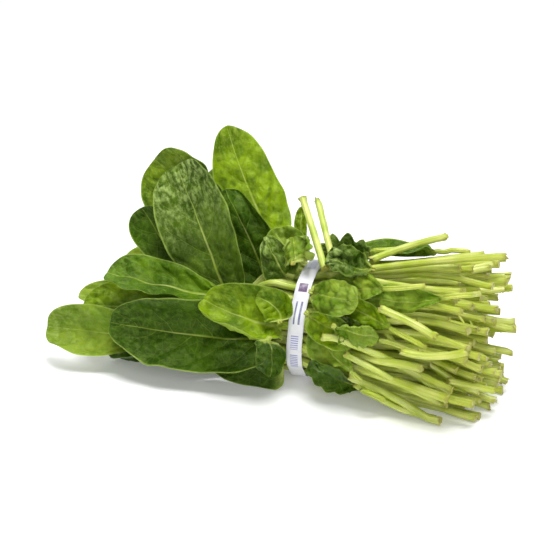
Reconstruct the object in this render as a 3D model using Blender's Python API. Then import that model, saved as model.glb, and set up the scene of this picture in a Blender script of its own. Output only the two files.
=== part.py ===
"""A bunch of flat-leaf spinach, tied once round its stalks and lying on its side.

Every leaf is one solid: a stalk that swells into a midrib, with the blade on both sides of it.
The stalks run side by side through the tie and splay to their cut ends at +X, and the blades
fan out towards -X.  Lengths are millimetres until an object is made, and the table is z = 0.
While the bunch is worked out, x = 0 is the tie and y = 0 the middle of the stalks under it.
"""

import math
from collections import namedtuple

import bpy
import numpy as np
from mathutils import Vector
from mathutils.bvhtree import BVHTree

# ---------------------------------------------------------------- driving dimensions
METRE = 0.001
WAIST_Z = 38.0  # height over the table of the middle of the stalks under the tie
WAIST_RADIUS = 34.0  # circle that holds the centre lines of the stalks under the tie
STALK_SLOTS = 104  # places for a stalk under the tie
STALK_RADIUS = (2.3, 2.85)  # thinnest and thickest stalk
PIECES = 60  # how many pieces the bunch is made of: the rest are bare stalks
STALK_GAP = 0.4  # least air between two stalks
STALK_REACH = 129.0  # how far from the waist the stalks are cut off, on average
STUB_X = 1.0  # where a stalk that has lost its blade ends
LEAF_THICK = 0.9
LOOSE_RADIUS, LOOSE_STALK = 1.6, 24.0  # of the small leaves that lie on the stalks
MIDRIB_DEEP = 1.0  # how far a midrib stands out under its blade, at the base
BLADE_CLEAR = 2.2  # from the middle of a blade to whatever it lies on
HIDE_DEPTH = 24.0  # a leaf this far behind another one passes behind it
TIE_X, TIE_LEAN = 5.0, 0.06  # middle of the tie along the bunch, and how far its top leans to +X
TIE_FREE_X = -2.0  # the tie holds every leaf as far as here
TIE_WIDTH = 10.0
TIE_THICK = 0.8
TIE_SLACK = 0.4  # air between the tie and what it holds

# Where along the bunch the stalks are packed side by side, and how the bunch opens there.
STATIONS = np.array([-14.0, 0.0, 16.0, 34.0, 54.0, 78.0, 102.0, 128.0])
TIE_STATION = 1
SPLAY_Y, SPLAY_Z = 0.98, 0.5  # growth of the width and height 120 mm right of the tie
LEAN_Y, LEAN_Z = -8.0, 4.0  # shift of the middle there

# ---------------------------------------------------------------- the leaves
# base, mid and tip are points on the midrib.  out is the way the leaf is pushed until it lies
# clear on the ones before it.  width is across the flattened blade, and face is the way its upper
# side looks.  fold is how far a half rises out of flat at the midrib and curl how far it goes on
# turning up to its edge, in degrees, for one half and then the other.  taper is larger for a
# blade that narrows sooner towards its tip, full is smaller for one with a rounder base.
FIELDS = "name base mid tip out colour width face fold curl taper full"
Leaf = namedtuple("Leaf", FIELDS, defaults=(0.5, 0.72))

FRONT, BACK, TOP, NEAR = (0, -0.93, 0.37), (0, 1, 0), (-0.1, -0.3, 1), (0.26, -0.9, 0.36)
UNDER_FRONT, UNDER_BACK = (0, -0.6, -0.8), (0, 0.6, -0.8)

BRIGHT, PLAIN, DEEP = (0.16, 0.33, 0.03), (0.08, 0.2, 0.025), (0.03, 0.1, 0.015)
GREY, PALE = (0.17, 0.26, 0.1), (0.3, 0.42, 0.12)
STALK_COLOUR, TIE_COLOUR = (0.45, 0.6, 0.15), (0.85, 0.85, 0.88)

CORE = [
    Leaf("leaf_core_low", (-24, 6, 29), (-66, 6, 21), (-108, 4, 21), FRONT, DEEP,
         width=34, face=(0, -1, 0.2), fold=(10, 10), curl=(20, 20)),
    Leaf("leaf_core_mid", (-22, 2, 40), (-62, 4, 42), (-106, 2, 47), FRONT, DEEP,
         width=36, face=(0, -1, 0.3), fold=(10, 10), curl=(20, 20)),
]
MIDDLE = [
    Leaf("leaf_blade", (-7, 24, 70), (-11, 34, 86), (-12, 41, 100), FRONT, BRIGHT,
         width=9, face=(0, -1, 0.1), fold=(5, 5), curl=(10, 10)),
    Leaf("leaf_tall", (-20, 17, 72), (-48, 36, 112), (-66, 48, 149), FRONT, BRIGHT,
         width=43, face=(0.1, -1, 0.3), fold=(8, -5), curl=(22, -45), taper=0.56, full=0.45),
    Leaf("leaf_behind", (-31, 13, 51), (-71, 18, 96), (-108, 23, 130), FRONT, BRIGHT,
         width=60, face=(-0.1, -1, 0.1), fold=(4, 4), curl=(15, 30), taper=0.36),
    Leaf("leaf_low_back", (-78, 3, 36), (-119, -1, 39), (-154, -6, 39), FRONT, PALE,
         width=25, face=(0, -0.5, 1), fold=(8, 8), curl=(20, 20)),
    Leaf("leaf_dark", (-25, 7, 52), (-37, 10, 83), (-54, 17.5, 115), FRONT, DEEP,
         width=38, face=(0.1, -1, 0), fold=(8, 8), curl=(10, 25), full=0.4),
    Leaf("leaf_left", (-76, -3, 57), (-96, 2, 80), (-111, 4, 102), FRONT, DEEP,
         width=32, face=(-0.2, -1, 0.2), fold=(8, 8), curl=(20, 20), taper=0.36),
    Leaf("leaf_face", (-45, -9, 44), (-66, -7, 93), (-87, 8, 132), FRONT, GREY,
         width=53, face=(0, -1, 0), fold=(3, 3), curl=(10, 14), taper=0.32, full=0.42),
]
BEHIND = [
    Leaf("leaf_back_high", (-22, 20, 58), (-52, 38, 90), (-82, 54, 112), BACK, PLAIN,
         width=44, face=(0.2, 1, 0.1), fold=(5, 5), curl=(20, 20)),
    Leaf("leaf_back_mid", (-40, 16, 46), (-88, 21, 52), (-132, 20, 54), BACK, BRIGHT,
         width=38, face=(0, 1, 0.3), fold=(10, 10), curl=(20, 25)),
    Leaf("leaf_back_shelf", (-26, 24, 54), (-66, 34, 62), (-102, 40, 72), BACK, BRIGHT,
         width=44, face=(0, 1, 0.7), fold=(10, 10), curl=(20, 20)),
    Leaf("leaf_back_far", (-52, 22, 25), (-100, 28.5, 26), (-146, 26, 22), BACK, PLAIN,
         width=41, face=(0, 1, 0.2), fold=(8, 8), curl=(25, 20)),
    Leaf("leaf_back_under", (-30, 18, 8), (-70, 20, 6), (-108, 22, 8), UNDER_BACK, DEEP,
         width=34, face=(0, 0.5, -1), fold=(5, 5), curl=(10, 10)),
    Leaf("leaf_back_dark", (-10, 28, 17), (-42, 34, 14), (-78, 37, 17), BACK, DEEP,
         width=34, face=(0, 1, -0.2), fold=(8, 8), curl=(20, 15)),
    Leaf("leaf_back_broad", (-8, 32, 34), (-58, 38, 36), (-112, 36, 42), BACK, PLAIN,
         width=56, face=(0, 1, 0.1), fold=(8, 4), curl=(20, 20)),
    Leaf("leaf_back_cup", (-10, 30, 50), (-38, 46, 60), (-72, 54, 74), BACK, BRIGHT,
         width=42, face=(0, 1, 0.6), fold=(30, 10), curl=(40, 20)),
]
BEFORE = [
    Leaf("leaf_low_mid", (-62, -13, 34), (-107, -15, 38.5), (-146, -17, 38), FRONT, BRIGHT,
         width=36, face=(0, -0.6, 0.9), fold=(8, 8), curl=(20, 20)),
    Leaf("leaf_far", (-90, -23.5, 23), (-126, -29.5, 25), (-168, -28, 24), FRONT, PALE,
         width=38, face=(0, -1, 0.3), fold=(10, 5), curl=(45, 15), taper=0.4),
    Leaf("leaf_under", (-36, -14, 8), (-83, -19, 7), (-128, -22, 9), UNDER_FRONT, DEEP,
         width=44, face=(0, -0.6, -0.8), fold=(5, 5), curl=(10, 10)),
    Leaf("leaf_shelf", (-43, -19, 52), (-86, -24, 61), (-126, -24, 65), FRONT, PLAIN,
         width=38, face=(0, -0.4, 1), fold=(8, 4), curl=(14, 12), taper=0.4),
    Leaf("leaf_shadow", (-5.5, -32, 21), (-24, -33, 18), (-56, -30, 14), FRONT, DEEP,
         width=40, face=(0, -1, -0.3), fold=(5, 5), curl=(20, 20), full=0.26),
    Leaf("leaf_broad", (-7, -30, 35), (-60, -35, 33), (-119, -34, 35), FRONT, DEEP,
         width=54, face=(0, -1, 0.1), fold=(22, 4), curl=(35, 12), taper=0.4, full=0.36),
    Leaf("leaf_cup", (-5.5, -34.5, 46), (-25, -42.5, 51.5), (-54, -39, 60), FRONT, BRIGHT,
         width=46, face=(0, -0.75, 0.65), fold=(12, 8), curl=(60, 15), taper=0.36, full=0.24),
    Leaf("leaf_curl", (-5, 8, 72), (-13, 4, 84), (-22, 6, 95), FRONT, PALE,
         width=29, face=(0.3, -1, 0.3), fold=(20, 15), curl=(50, -30), full=0.45),
    Leaf("leaf_nook", (-7, -9, 66), (-14, -7, 78), (-24, 0, 91), FRONT, GREY,
         width=28, face=(0.2, -1, 0.2), fold=(10, 10), curl=(30, 30), full=0.3),
]
# Small leaves whose stalks never reach the tie: they lie on the stalks, tip towards the tie.
LOOSE = [
    Leaf("leaf_loose_back", (82, 34, 65), (57, 26, 72), (24, 14, 76), TOP, PLAIN,
         width=36, face=(0, -0.3, 1), fold=(10, 10), curl=(20, 20)),
    Leaf("leaf_loose_top", (46, 4, 76), (29, -3, 85), (13, -10, 83), TOP, GREY,
         width=32, face=(0, -0.6, 1), fold=(15, 5), curl=(60, 30)),
    Leaf("leaf_loose_pale", (87, -7, 65), (64, -15, 63), (39, -24, 69), NEAR, PALE,
         width=20, face=(0, -0.7, 0.7), fold=(10, 10), curl=(20, 20)),
    Leaf("leaf_loose_crisp", (54, -14, 70), (38, -22, 70), (22, -28, 65), NEAR, PALE,
         width=26, face=(0, -0.8, 0.6), fold=(15, 10), curl=(30, 40)),
    Leaf("leaf_loose_long", (62, -28, 50), (46, -33, 60), (28, -33, 67), NEAR, PLAIN,
         width=18, face=(0, -1, 0.3), fold=(10, 10), curl=(20, 20)),
    Leaf("leaf_loose_curl", (58, -35, 44), (46, -41, 49), (34, -38, 57), NEAR, GREY,
         width=17, face=(0, -1, 0.3), fold=(20, 10), curl=(50, 40)),
    Leaf("leaf_loose_front", (41, -38, 22), (29, -41, 34), (16, -38, 47), NEAR, BRIGHT,
         width=24, face=(0.3, -1, 0), fold=(10, 10), curl=(25, 25)),
    Leaf("leaf_loose_low", (46, -32, 8), (30, -36, 15), (14, -35, 24), NEAR, DEEP,
         width=22, face=(0.2, -1, -0.2), fold=(10, 10), curl=(20, 20)),
]

# Bare stalks that lie loose on the bunch, or stand up out of it.
Stick = namedtuple("Stick", "name foot head radius out")
UNDER_LOOSE = [
    Stick("stalk_over", (21, -19, 77), (120, 24, 84), 2.6, NEAR),
    Stick("stalk_across", (40, -16, 76), (99, -2, 68), 2.5, NEAR),
]
OVER_LOOSE = [
    Stick("stalk_upright", (16, 6, 79), (-8, 27, 111), 2.8, FRONT),
    Stick("stalk_leaning", (21, 9, 83), (2, 27, 111), 2.5, FRONT),
    Stick("stalk_top", (43, 1, 82), (87, 28, 93), 2.5, NEAR),
    Stick("stalk_snapped", (55, -28, 62), (89, -27, 47), 2.7, NEAR),
    Stick("stalk_bent", (71, -38, 40), (108, -28, 41), 2.6, NEAR),
    Stick("stalk_stub", (103, -42, 25), (127, -19, 12), 2.5, NEAR),
]


def unit(v):
    v = np.asarray(v, float)
    return v / np.linalg.norm(v)


def smooth(x):
    x = np.clip(x, 0.0, 1.0)
    return x * x * (3 - 2 * x)


# ---------------------------------------------------------------- stalks
def splay(x):
    """Middle and half-axes (y, z) of the stalks' cross-section, x along the bunch."""
    right, left = max(x, 0.0) / 120.0, max(-x, 0.0) / 14.0
    middle = np.array([LEAN_Y * right, WAIST_Z + LEAN_Z * right + 1.0 * left])
    growth = np.array([1 + SPLAY_Y * right + 0.04 * left, 1 + SPLAY_Z * right + 0.04 * left])
    return middle, WAIST_RADIUS * growth


def pack(points, radii, middle, half, gap):
    """Pushes discs apart until there is a gap between them, in the ellipse and over the table."""
    reach = radii[:, None] + radii[None, :] + gap
    for _ in range(500):
        apart = points[:, None] - points[None]
        distance = np.linalg.norm(apart, axis=2) + np.eye(len(points)) * 1e3
        overlap = np.clip(reach - distance, 0, None)
        points = points + 0.5 * (apart / distance[..., None] * overlap[..., None]).sum(axis=1)
        around = (points - middle) / half
        far = np.maximum(np.linalg.norm(around, axis=1), 1.0)[:, None]
        points = middle + around / (1 + 0.7 * (far - 1)) * half
        points[:, 1] = np.maximum(points[:, 1], radii)
    return points


def lay_stalks():
    """Centres of every stalk at each station, their radii, and where each is cut off."""
    rng = np.random.default_rng(7)
    n = np.arange(STALK_SLOTS)
    r = np.sqrt((n + 0.5) / STALK_SLOTS)
    turn = n * math.pi * (3 - math.sqrt(5))
    radii = rng.uniform(*STALK_RADIUS, STALK_SLOTS)
    stray = rng.normal(0, 0.13, (STALK_SLOTS, 2))
    tracks = np.zeros((STALK_SLOTS, len(STATIONS), 3))
    tracks[:, :, 0] = STATIONS
    middle, half = splay(0.0)
    disc = np.stack([r * np.cos(turn), r * np.sin(turn)], axis=1)
    tracks[:, TIE_STATION, 1:] = pack(middle + disc * half, radii, middle, half, STALK_GAP)
    order = [(0, 1)] + [(k, k - 1) for k in range(TIE_STATION + 1, len(STATIONS))]
    for k, before in order:
        middle_a, half_a = splay(STATIONS[before])
        middle_b, half_b = splay(STATIONS[k])
        share = (tracks[:, before, 1:] - middle_a) / half_a
        gap = STALK_GAP + max(STATIONS[k], 0) * 0.012
        share += stray * max(STATIONS[k] - STATIONS[before], 0) / 110.0
        tracks[:, k, 1:] = pack(middle_b + share * half_b, radii, middle_b, half_b, gap)
    aside = ((tracks[:, -2, 1:] - [0, WAIST_Z]) ** 2).sum(axis=1)
    reach = STALK_REACH + rng.normal(0, 9, STALK_SLOTS).clip(-26, 8)
    return tracks, radii, np.sqrt(reach**2 - 1.2 * aside)


def along(track, x):
    """The track's point at each x, on a smooth curve through its stations."""
    x = np.atleast_1d(x)
    slopes = np.gradient(track[:, 1:], STATIONS, axis=0)
    k = np.clip(np.searchsorted(STATIONS, x) - 1, 0, len(STATIONS) - 2)
    step = STATIONS[k + 1] - STATIONS[k]
    u = ((x - STATIONS[k]) / step)[:, None]
    step = step[:, None]
    yz = (
        (2 * u**3 - 3 * u**2 + 1) * track[k, 1:]
        + (u**3 - 2 * u**2 + u) * step * slopes[k]
        + (3 * u**2 - 2 * u**3) * track[k + 1, 1:]
        + (u**3 - u**2) * step * slopes[k + 1]
    )
    return np.concatenate([x[:, None], yz], axis=1)


def stations_to(end):
    """The x of a stalk's rings, from its cut end back past the tie."""
    inner = [x for x in STATIONS[::-1] if STUB_X < x < end - 9]
    return np.array([end] + inner + [STUB_X])


# ---------------------------------------------------------------- leaf surfaces
STALK_ROWS = 8  # rows of a leaf's grid from the tie to the blade
BLADE_ROWS = 17  # rows from the blade's base to its tip
COLUMNS = 13  # points across
CENTRE = COLUMNS // 2
WAVES, WAVE_HEIGHT = 11.0, 0.06  # radians of wave along a blade's edge, and its share of the width


def outline(s, rise, fall):
    """Half-width of the blade from base (0) to tip (1), as a share of the widest."""
    peak = (rise / (rise + fall)) ** rise * (fall / (rise + fall)) ** fall
    return s**rise * (1 - s) ** fall / peak


def across(a, fold, curl):
    """(sideways, up) at share a of a half that leaves the midrib at fold and turns by curl."""
    if abs(curl) < 1e-3:
        return a * math.cos(fold), a * math.sin(fold)
    sideways = (math.sin(fold + curl * a) - math.sin(fold)) / curl
    return sideways, (math.cos(fold) - math.cos(fold + curl * a)) / curl


def blade_grid(leaf, radius, phase):
    """Middle surface of the blade: rows from base to tip, columns from one edge to the other."""
    base, mid, tip = (np.array(p, float) for p in (leaf.base, leaf.mid, leaf.tip))
    bow = 2 * mid - (base + tip) / 2
    s = (1 - np.cos(np.linspace(0, math.pi, BLADE_ROWS)))[:, None] / 2
    line = (1 - s) ** 2 * base + 2 * s * (1 - s) * bow + s**2 * tip
    heading = 2 * (1 - s) * (bow - base) + 2 * s * (tip - bow)
    heading /= np.linalg.norm(heading, axis=1, keepdims=True)
    side = np.cross(heading, unit(leaf.face))
    side /= np.linalg.norm(side, axis=1, keepdims=True)
    up = np.cross(side, heading)
    half_width = leaf.width / 2 * outline(s, leaf.full, leaf.taper)
    half_width = np.maximum(half_width, radius * np.clip(1 - 2 * s, 0, 1))
    opened = smooth(s / 0.2)
    grid = np.zeros((BLADE_ROWS, COLUMNS, 3))
    for k, share in enumerate(np.linspace(-1, 1, COLUMNS)):
        which = 0 if share < 0 else 1
        sideways, rise = across(abs(share), math.radians(leaf.fold[which]), math.radians(leaf.curl[which]))
        wave = np.sin(s * WAVES + phase + 2.1 * which) * share**2 * WAVE_HEIGHT
        grid[:, k] = line + side * half_width * math.copysign(sideways, share)
        grid[:, k] += up * half_width * (rise * opened + wave)
    return grid


def stalk_line(start, out, base, heading):
    """Points from where the leaf leaves the tie to the blade's base."""
    reach = np.linalg.norm(base - start)
    a, b = start + out * reach * 0.4, base - heading * reach * 0.35
    u = np.linspace(0, 1, STALK_ROWS + 1)[:-1, None]
    return (1 - u) ** 3 * start + 3 * u * (1 - u) ** 2 * a + 3 * u**2 * (1 - u) * b + u**3 * base


def leaf_grid(leaf, radius, phase, start, out):
    """The whole leaf beyond start as one grid: stalk rows, then blade rows."""
    blade = blade_grid(leaf, radius, phase)
    base = blade[0, CENTRE]
    stalk = stalk_line(start, out, base, unit(blade[1, CENTRE] - base))
    return np.concatenate([np.repeat(stalk[:, None], COLUMNS, axis=1), blade])


def spread(values):
    """Each value raised to the largest of its neighbours."""
    padded = np.pad(values, 1, mode="edge")
    rows, columns = values.shape
    windows = [padded[j : j + rows, i : i + columns] for j in range(3) for i in range(3)]
    return np.max(windows, axis=0)


def soften(values):
    padded = np.pad(values, 1, mode="edge")
    return (padded[:-2, 1:-1] + padded[2:, 1:-1] + padded[1:-1, :-2] + padded[1:-1, 2:]) / 4


def settle(grid, radius, out, laid, held):
    """Lifts the grid along out until it lies clear of everything laid before it."""
    out = unit(out)
    hide = HIDE_DEPTH if held else math.inf
    need = np.zeros(grid.shape[:2])
    beside = unit(np.cross(out, unit(grid[STALK_ROWS, CENTRE] - grid[0, CENTRE])))
    for j, row in enumerate(grid):
        if held and row[CENTRE, 0] > TIE_FREE_X - 2:
            continue
        thick = np.clip((STALK_ROWS + 5 - j) / 5, 0, 1) * radius
        clear = BLADE_CLEAR + thick
        for i, point in enumerate(row):
            if j <= STALK_ROWS:
                point = point + beside * radius * 1.2 * (i - CENTRE) / CENTRE
            hit, normal, _, _ = laid.ray_cast(Vector(point + out * 400), Vector(-out), 800)
            if hit is not None and float((np.array(hit) - point) @ out) < hide:
                slant = max(abs(np.array(normal) @ out), 0.45)
                need[j, i] = max(0.0, clear / slant - float((point - np.array(hit)) @ out))
    need[: STALK_ROWS + 1] = need[: STALK_ROWS + 1].max(axis=1, keepdims=True)
    need = spread(need)
    lift = need
    for _ in range(10):
        lift = np.maximum(need, (lift + soften(lift)) / 2)
    lift[: STALK_ROWS + 1] = lift[: STALK_ROWS + 1].max(axis=1, keepdims=True)
    lift[-1] = lift[-1, CENTRE]
    if held:
        steps = np.linalg.norm(np.diff(grid[:, CENTRE], axis=0), axis=1)
        beyond = np.cumsum(np.append(0, steps) * (grid[:, CENTRE, 0] < TIE_FREE_X))
        lift = lift * smooth(beyond / 11.0)[:, None]
    grid = grid + out * lift[..., None]
    grid[..., 2] = np.maximum(grid[..., 2], LEAF_THICK / 2)
    return grid


def drop(stick, laid):
    """The stick's solid, moved along out until it lies straight and clear of what is laid."""
    out, foot, head = unit(stick.out), np.array(stick.foot, float), np.array(stick.head, float)
    beside = unit(np.cross(out, head - foot))
    share = np.linspace(0, 1, 25)
    need = np.zeros(len(share))
    for k, u in enumerate(share):
        for aside in (-1, 0, 1):
            point = foot + (head - foot) * u + beside * aside * stick.radius
            hit, normal, _, _ = laid.ray_cast(Vector(point + out * 400), Vector(-out), 800)
            if hit is not None:
                above = float((point - np.array(hit)) @ out)
                slant = max(abs(np.array(normal) @ out), 0.6)
                need[k] = max(need[k], (stick.radius + 0.6) / slant - above)
    first = np.linspace(need[0], need[0] + need.max() + 1, 80)
    last = np.array([((need - a * (1 - share))[1:] / share[1:]).max() for a in first]).clip(need[-1])
    best = int(np.argmin(first + last))
    foot, head = foot + out * first[best], head + out * last[best]
    return stalk_solid(head + (foot - head) * np.linspace(0, 1, 3)[:, None], stick.radius)


# ---------------------------------------------------------------- solids
def heading_at(line, k):
    return unit(line[min(k + 1, len(line) - 1)] - line[max(k - 1, 0)])


def tube_rings(line, radius, side, corners):
    """Rings of a round stalk, with corner 0 on the far side of the line from side."""
    sides = [unit(side)]
    for k in range(len(line) - 1, -1, -1):
        heading = heading_at(line, k)
        sides.append(unit(sides[-1] - heading * (sides[-1] @ heading)))
    sides = sides[:0:-1]
    angle = math.pi - 2 * math.pi * np.arange(corners) / corners
    rings = []
    for k, centre in enumerate(line):
        up = np.cross(sides[k], heading_at(line, k))
        ring = np.cos(angle)[:, None] * sides[k] + np.sin(angle)[:, None] * up
        rings.append(centre + radius * ring)
    return rings


def blade_rings(grid, radius, halves):
    """Closed rings round the blade: over its upper side from edge to edge, and back below."""
    normal = np.cross(np.gradient(grid, axis=1), np.gradient(grid, axis=0))
    normal /= np.linalg.norm(normal, axis=2, keepdims=True) + 1e-9
    picked = slice(0, COLUMNS, CENTRE // halves)
    last = len(grid) - 1
    rings = []
    for j in range(2, last, 2):
        surface, up = grid[j, picked], normal[j, picked]
        rib = np.zeros((len(surface), 1))
        rib[halves] = (MIDRIB_DEEP + radius) * (1 - j / last) ** 2
        top = surface + up * LEAF_THICK / 2
        under = surface - up * (LEAF_THICK / 2 + rib)
        top[0], top[-1] = surface[0], surface[-1]
        ring = np.concatenate([top, under[-2:0:-1]])
        ring[:, 2] = np.maximum(ring[:, 2], 0.0)
        rings.append(ring)
    return rings


def skin(rings, first, last):
    """(points, faces) of one closed skin through the rings, ending in a point at either end.

    The triangles of a blade's upper side and underside are split the same way, so that they
    stay apart where the blade is twisted.
    """
    count = len(rings[0])
    points = [p for ring in rings for p in ring] + [first, last]
    faces = []
    for k in range(len(rings) - 1):
        a, b = k * count, (k + 1) * count
        for i in range(count):
            j = (i + 1) % count
            if i < count // 2:
                faces += [(a + i, a + j, b + j), (a + i, b + j, b + i)]
            else:
                faces += [(a + i, a + j, b + i), (a + j, b + j, b + i)]
    start, end, top = len(points) - 2, len(points) - 1, (len(rings) - 1) * count
    for i in range(count):
        j = (i + 1) % count
        faces.append((start, j, i))
        faces.append((end, top + i, top + j))
    return points, faces


def leaf_solid(leaf, grid, before, radius):
    """A leaf whose stalk runs along before, then along its grid."""
    halves = 3 if leaf.width > 43 else 2
    line = np.concatenate([before, grid[:STALK_ROWS:2, 0], grid[STALK_ROWS : STALK_ROWS + 1, CENTRE]])
    side = grid[STALK_ROWS + 3, -1] - grid[STALK_ROWS + 3, 0]
    rings = tube_rings(line, radius, side, 4 * halves)
    rings += blade_rings(grid[STALK_ROWS:], radius, halves)
    return skin(rings, line[0], grid[-1, CENTRE])


def stalk_solid(line, radius, corners=6):
    return skin(tube_rings(line, radius, (0, 1, 0), corners), line[0], line[-1])


# ---------------------------------------------------------------- the tie
def cut(solids, x):
    """Where the solids' edges cross the tie's plane, moved along the bunch by x, as (y, z)."""
    crossing = []
    for points, faces in solids:
        points = np.array(points)
        points[:, 0] -= TIE_X + TIE_LEAN * (points[:, 2] - WAIST_Z)
        crossing += [p[1:] for p in points if abs(p[0]) < TIE_WIDTH / 2]
        for face in faces:
            for a, b in zip(face, face[1:] + face[:1]):
                p, q = points[a], points[b]
                if (p[0] - x) * (q[0] - x) < 0:
                    crossing.append((p + (q - p) * (x - p[0]) / (q[0] - p[0]))[1:])
    return crossing


def hull(points):
    """Convex outline of 2-D points, anticlockwise."""

    def half(ordered):
        kept = []
        for p in ordered:
            while len(kept) > 1 and np.cross(kept[-1] - kept[-2], p - kept[-2]) <= 0:
                kept.pop()
            kept.append(p)
        return kept[:-1]

    points = [np.array(p) for p in sorted(map(tuple, points))]
    return np.array(half(points) + half(points[::-1]))


def reach_of(held, angle):
    """Distance from the waist's middle to the outline of what the tie holds, at each angle."""
    corners = hull(held - np.array([0.0, WAIST_Z]))
    reach = []
    for a in angle:
        way = np.array([math.cos(a), math.sin(a)])
        best = 0.0
        for p, q in zip(corners, np.roll(corners, -1, axis=0)):
            edge = q - p
            area = np.cross(way, edge)
            if abs(area) > 1e-9 and -1e-6 <= np.cross(way, -p) / area <= 1 + 1e-6:
                best = max(best, np.cross(p, edge) / area)
        reach.append(best)
    return np.array(reach)


def tie_solid(held):
    angle = np.linspace(0, 2 * math.pi, 64, endpoint=False)
    reach = reach_of(np.array(held), angle)
    reach = np.maximum(reach, (np.roll(reach, 1) + np.roll(reach, -1)) / 2) + TIE_SLACK
    around = np.stack([np.zeros_like(angle), np.cos(angle), np.sin(angle)], axis=1)
    points = []
    for x, r in ((-0.5, reach + TIE_THICK), (0.5, reach + TIE_THICK), (0.5, reach), (-0.5, reach)):
        ring = np.array([TIE_X + x * TIE_WIDTH, 0, WAIST_Z]) + around * r[:, None]
        ring[:, 0] += TIE_LEAN * (ring[:, 2] - WAIST_Z)
        points += list(ring)
    count = len(angle)
    faces = []
    for k in range(4):
        a, b = k * count, ((k + 1) % 4) * count
        for i in range(count):
            j = (i + 1) % count
            faces.append((a + i, a + j, b + j, b + i))
    return points, faces


# ---------------------------------------------------------------- laying the bunch
def tree_of(solids):
    points, faces = [], []
    for p, f in solids:
        start = len(points)
        points += [Vector(x) for x in p]
        faces += [tuple(start + i for i in face) for face in f]
    return BVHTree.FromPolygons(points, faces)


def nearest_slot(tracks, free, base):
    """The free slot under the tie that a leaf with this base would grow out of."""
    wanted = np.array([base[1], base[2] - WAIST_Z]) / (1 + 0.004 * max(-14 - base[0], 0))
    wanted *= min(1.0, WAIST_RADIUS / np.linalg.norm(wanted))
    distance = np.linalg.norm(tracks[:, TIE_STATION, 1:] - wanted - [0, WAIST_Z], axis=1)
    distance[~free] = np.inf
    return int(np.argmin(distance))


def choose_slots(tracks):
    """{leaf name: slot}, the leaves nearest to the outside choosing first."""
    free = np.ones(STALK_SLOTS, bool)
    slot = {}
    for leaf in BEFORE[::-1] + BEHIND[::-1] + MIDDLE[::-1] + CORE:
        slot[leaf.name] = nearest_slot(tracks, free, leaf.base)
        free[slot[leaf.name]] = False
    return slot


def held_leaf(leaf, track, radius, end, phase, laid):
    """A leaf whose stalk the tie holds, from its cut end to its tip."""
    leave = max(TIE_FREE_X, leaf.base[0] + 12.0)
    start, after = along(track, [leave, leave + 3.0])
    grid = leaf_grid(leaf, radius, phase, start, unit(start - after))
    grid = settle(grid, radius, leaf.out, tree_of(laid), True)
    before = along(track, [x for x in stations_to(end) if x > leave + 2])
    return leaf_solid(leaf, grid, before, radius)


def loose_leaf(leaf, phase, laid):
    """A small leaf with a short stalk of its own, lying on what is laid."""
    tail = unit(np.subtract(leaf.base, leaf.mid))
    grid = leaf_grid(leaf, LOOSE_RADIUS, phase, leaf.base + tail * LOOSE_STALK, -tail)
    grid = settle(grid, LOOSE_RADIUS, leaf.out, tree_of(laid), False)
    return leaf_solid(leaf, grid, np.zeros((0, 3)), LOOSE_RADIUS)


def lay_bunch():
    """{name: (points, faces)} of every piece, in millimetres."""
    tracks, radii, ends = lay_stalks()
    slot = choose_slots(tracks)
    stalks = [
        stalk_solid(along(tracks[n], stations_to(ends[n])), radii[n]) for n in range(STALK_SLOTS)
    ]
    bare = [n for n in range(STALK_SLOTS) if n not in slot.values()]
    laid = [stalks[n] for n in bare] + [stalks[n] for n in sorted(slot.values())]
    solids = {}
    for k, leaf in enumerate(CORE + MIDDLE + BEHIND + BEFORE):
        n = slot[leaf.name]
        solids[leaf.name] = held_leaf(leaf, tracks[n], radii[n], ends[n], 1.7 * k, laid)
        laid.append(solids[leaf.name])
    held = [cut(laid, x) for x in np.linspace(-0.5, 0.5, 5) * TIE_WIDTH]
    solids["tie"] = tie_solid(sum(held, []))
    laid.append(solids["tie"])
    for stick in UNDER_LOOSE:
        solids[stick.name] = drop(stick, tree_of(laid))
        laid.append(solids[stick.name])
    for k, leaf in enumerate(LOOSE):
        solids[leaf.name] = loose_leaf(leaf, 1.3 * k, laid)
        laid.append(solids[leaf.name])
    for stick in OVER_LOOSE:
        solids[stick.name] = drop(stick, tree_of(laid))
        laid.append(solids[stick.name])
    waist = np.linalg.norm(tracks[:, TIE_STATION, 1:] - [0, WAIST_Z], axis=1)
    bare.sort(key=lambda n: -waist[n])
    for k, n in enumerate(bare[: PIECES - len(solids)]):
        solids[f"stalk_{k + 1:02d}"] = stalks[n]
    return solids


# ---------------------------------------------------------------- Blender objects
def material(name, colour, roughness):
    """A Principled material that reflects like a waxy leaf or like paper."""
    made = bpy.data.materials.new(name)
    made.use_nodes = True
    shader = made.node_tree.nodes["Principled BSDF"]
    shader.inputs["Base Color"].default_value = (*colour, 1)
    shader.inputs["Roughness"].default_value = roughness
    shader.inputs["Metallic"].default_value = 0.0
    made.diffuse_color = (*colour, 1)
    return made


def facing_out(points, faces):
    """The faces, turned round if the skin they make is inside out."""
    volume = 0.0
    for face in faces:
        for k in range(1, len(face) - 1):
            volume += np.linalg.det(points[[face[0], face[k], face[k + 1]]])
    return faces if volume > 0 else [face[::-1] for face in faces]


def add(name, solid, look, shift):
    points, faces = np.asarray(solid[0]), solid[1]
    mesh = bpy.data.meshes.new(name)
    mesh.from_pydata([tuple(p) for p in (points - shift) * METRE], [], facing_out(points, faces))
    mesh.materials.append(look)
    mesh.shade_smooth()
    made = bpy.data.objects.new(name, mesh)
    bpy.context.scene.collection.objects.link(made)


def looks_of(name, colours):
    """The material of the piece with this name."""
    if name == "tie":
        return material("tie", TIE_COLOUR, 0.5)
    return material(name, colours.get(name, STALK_COLOUR), 0.4)


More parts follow.
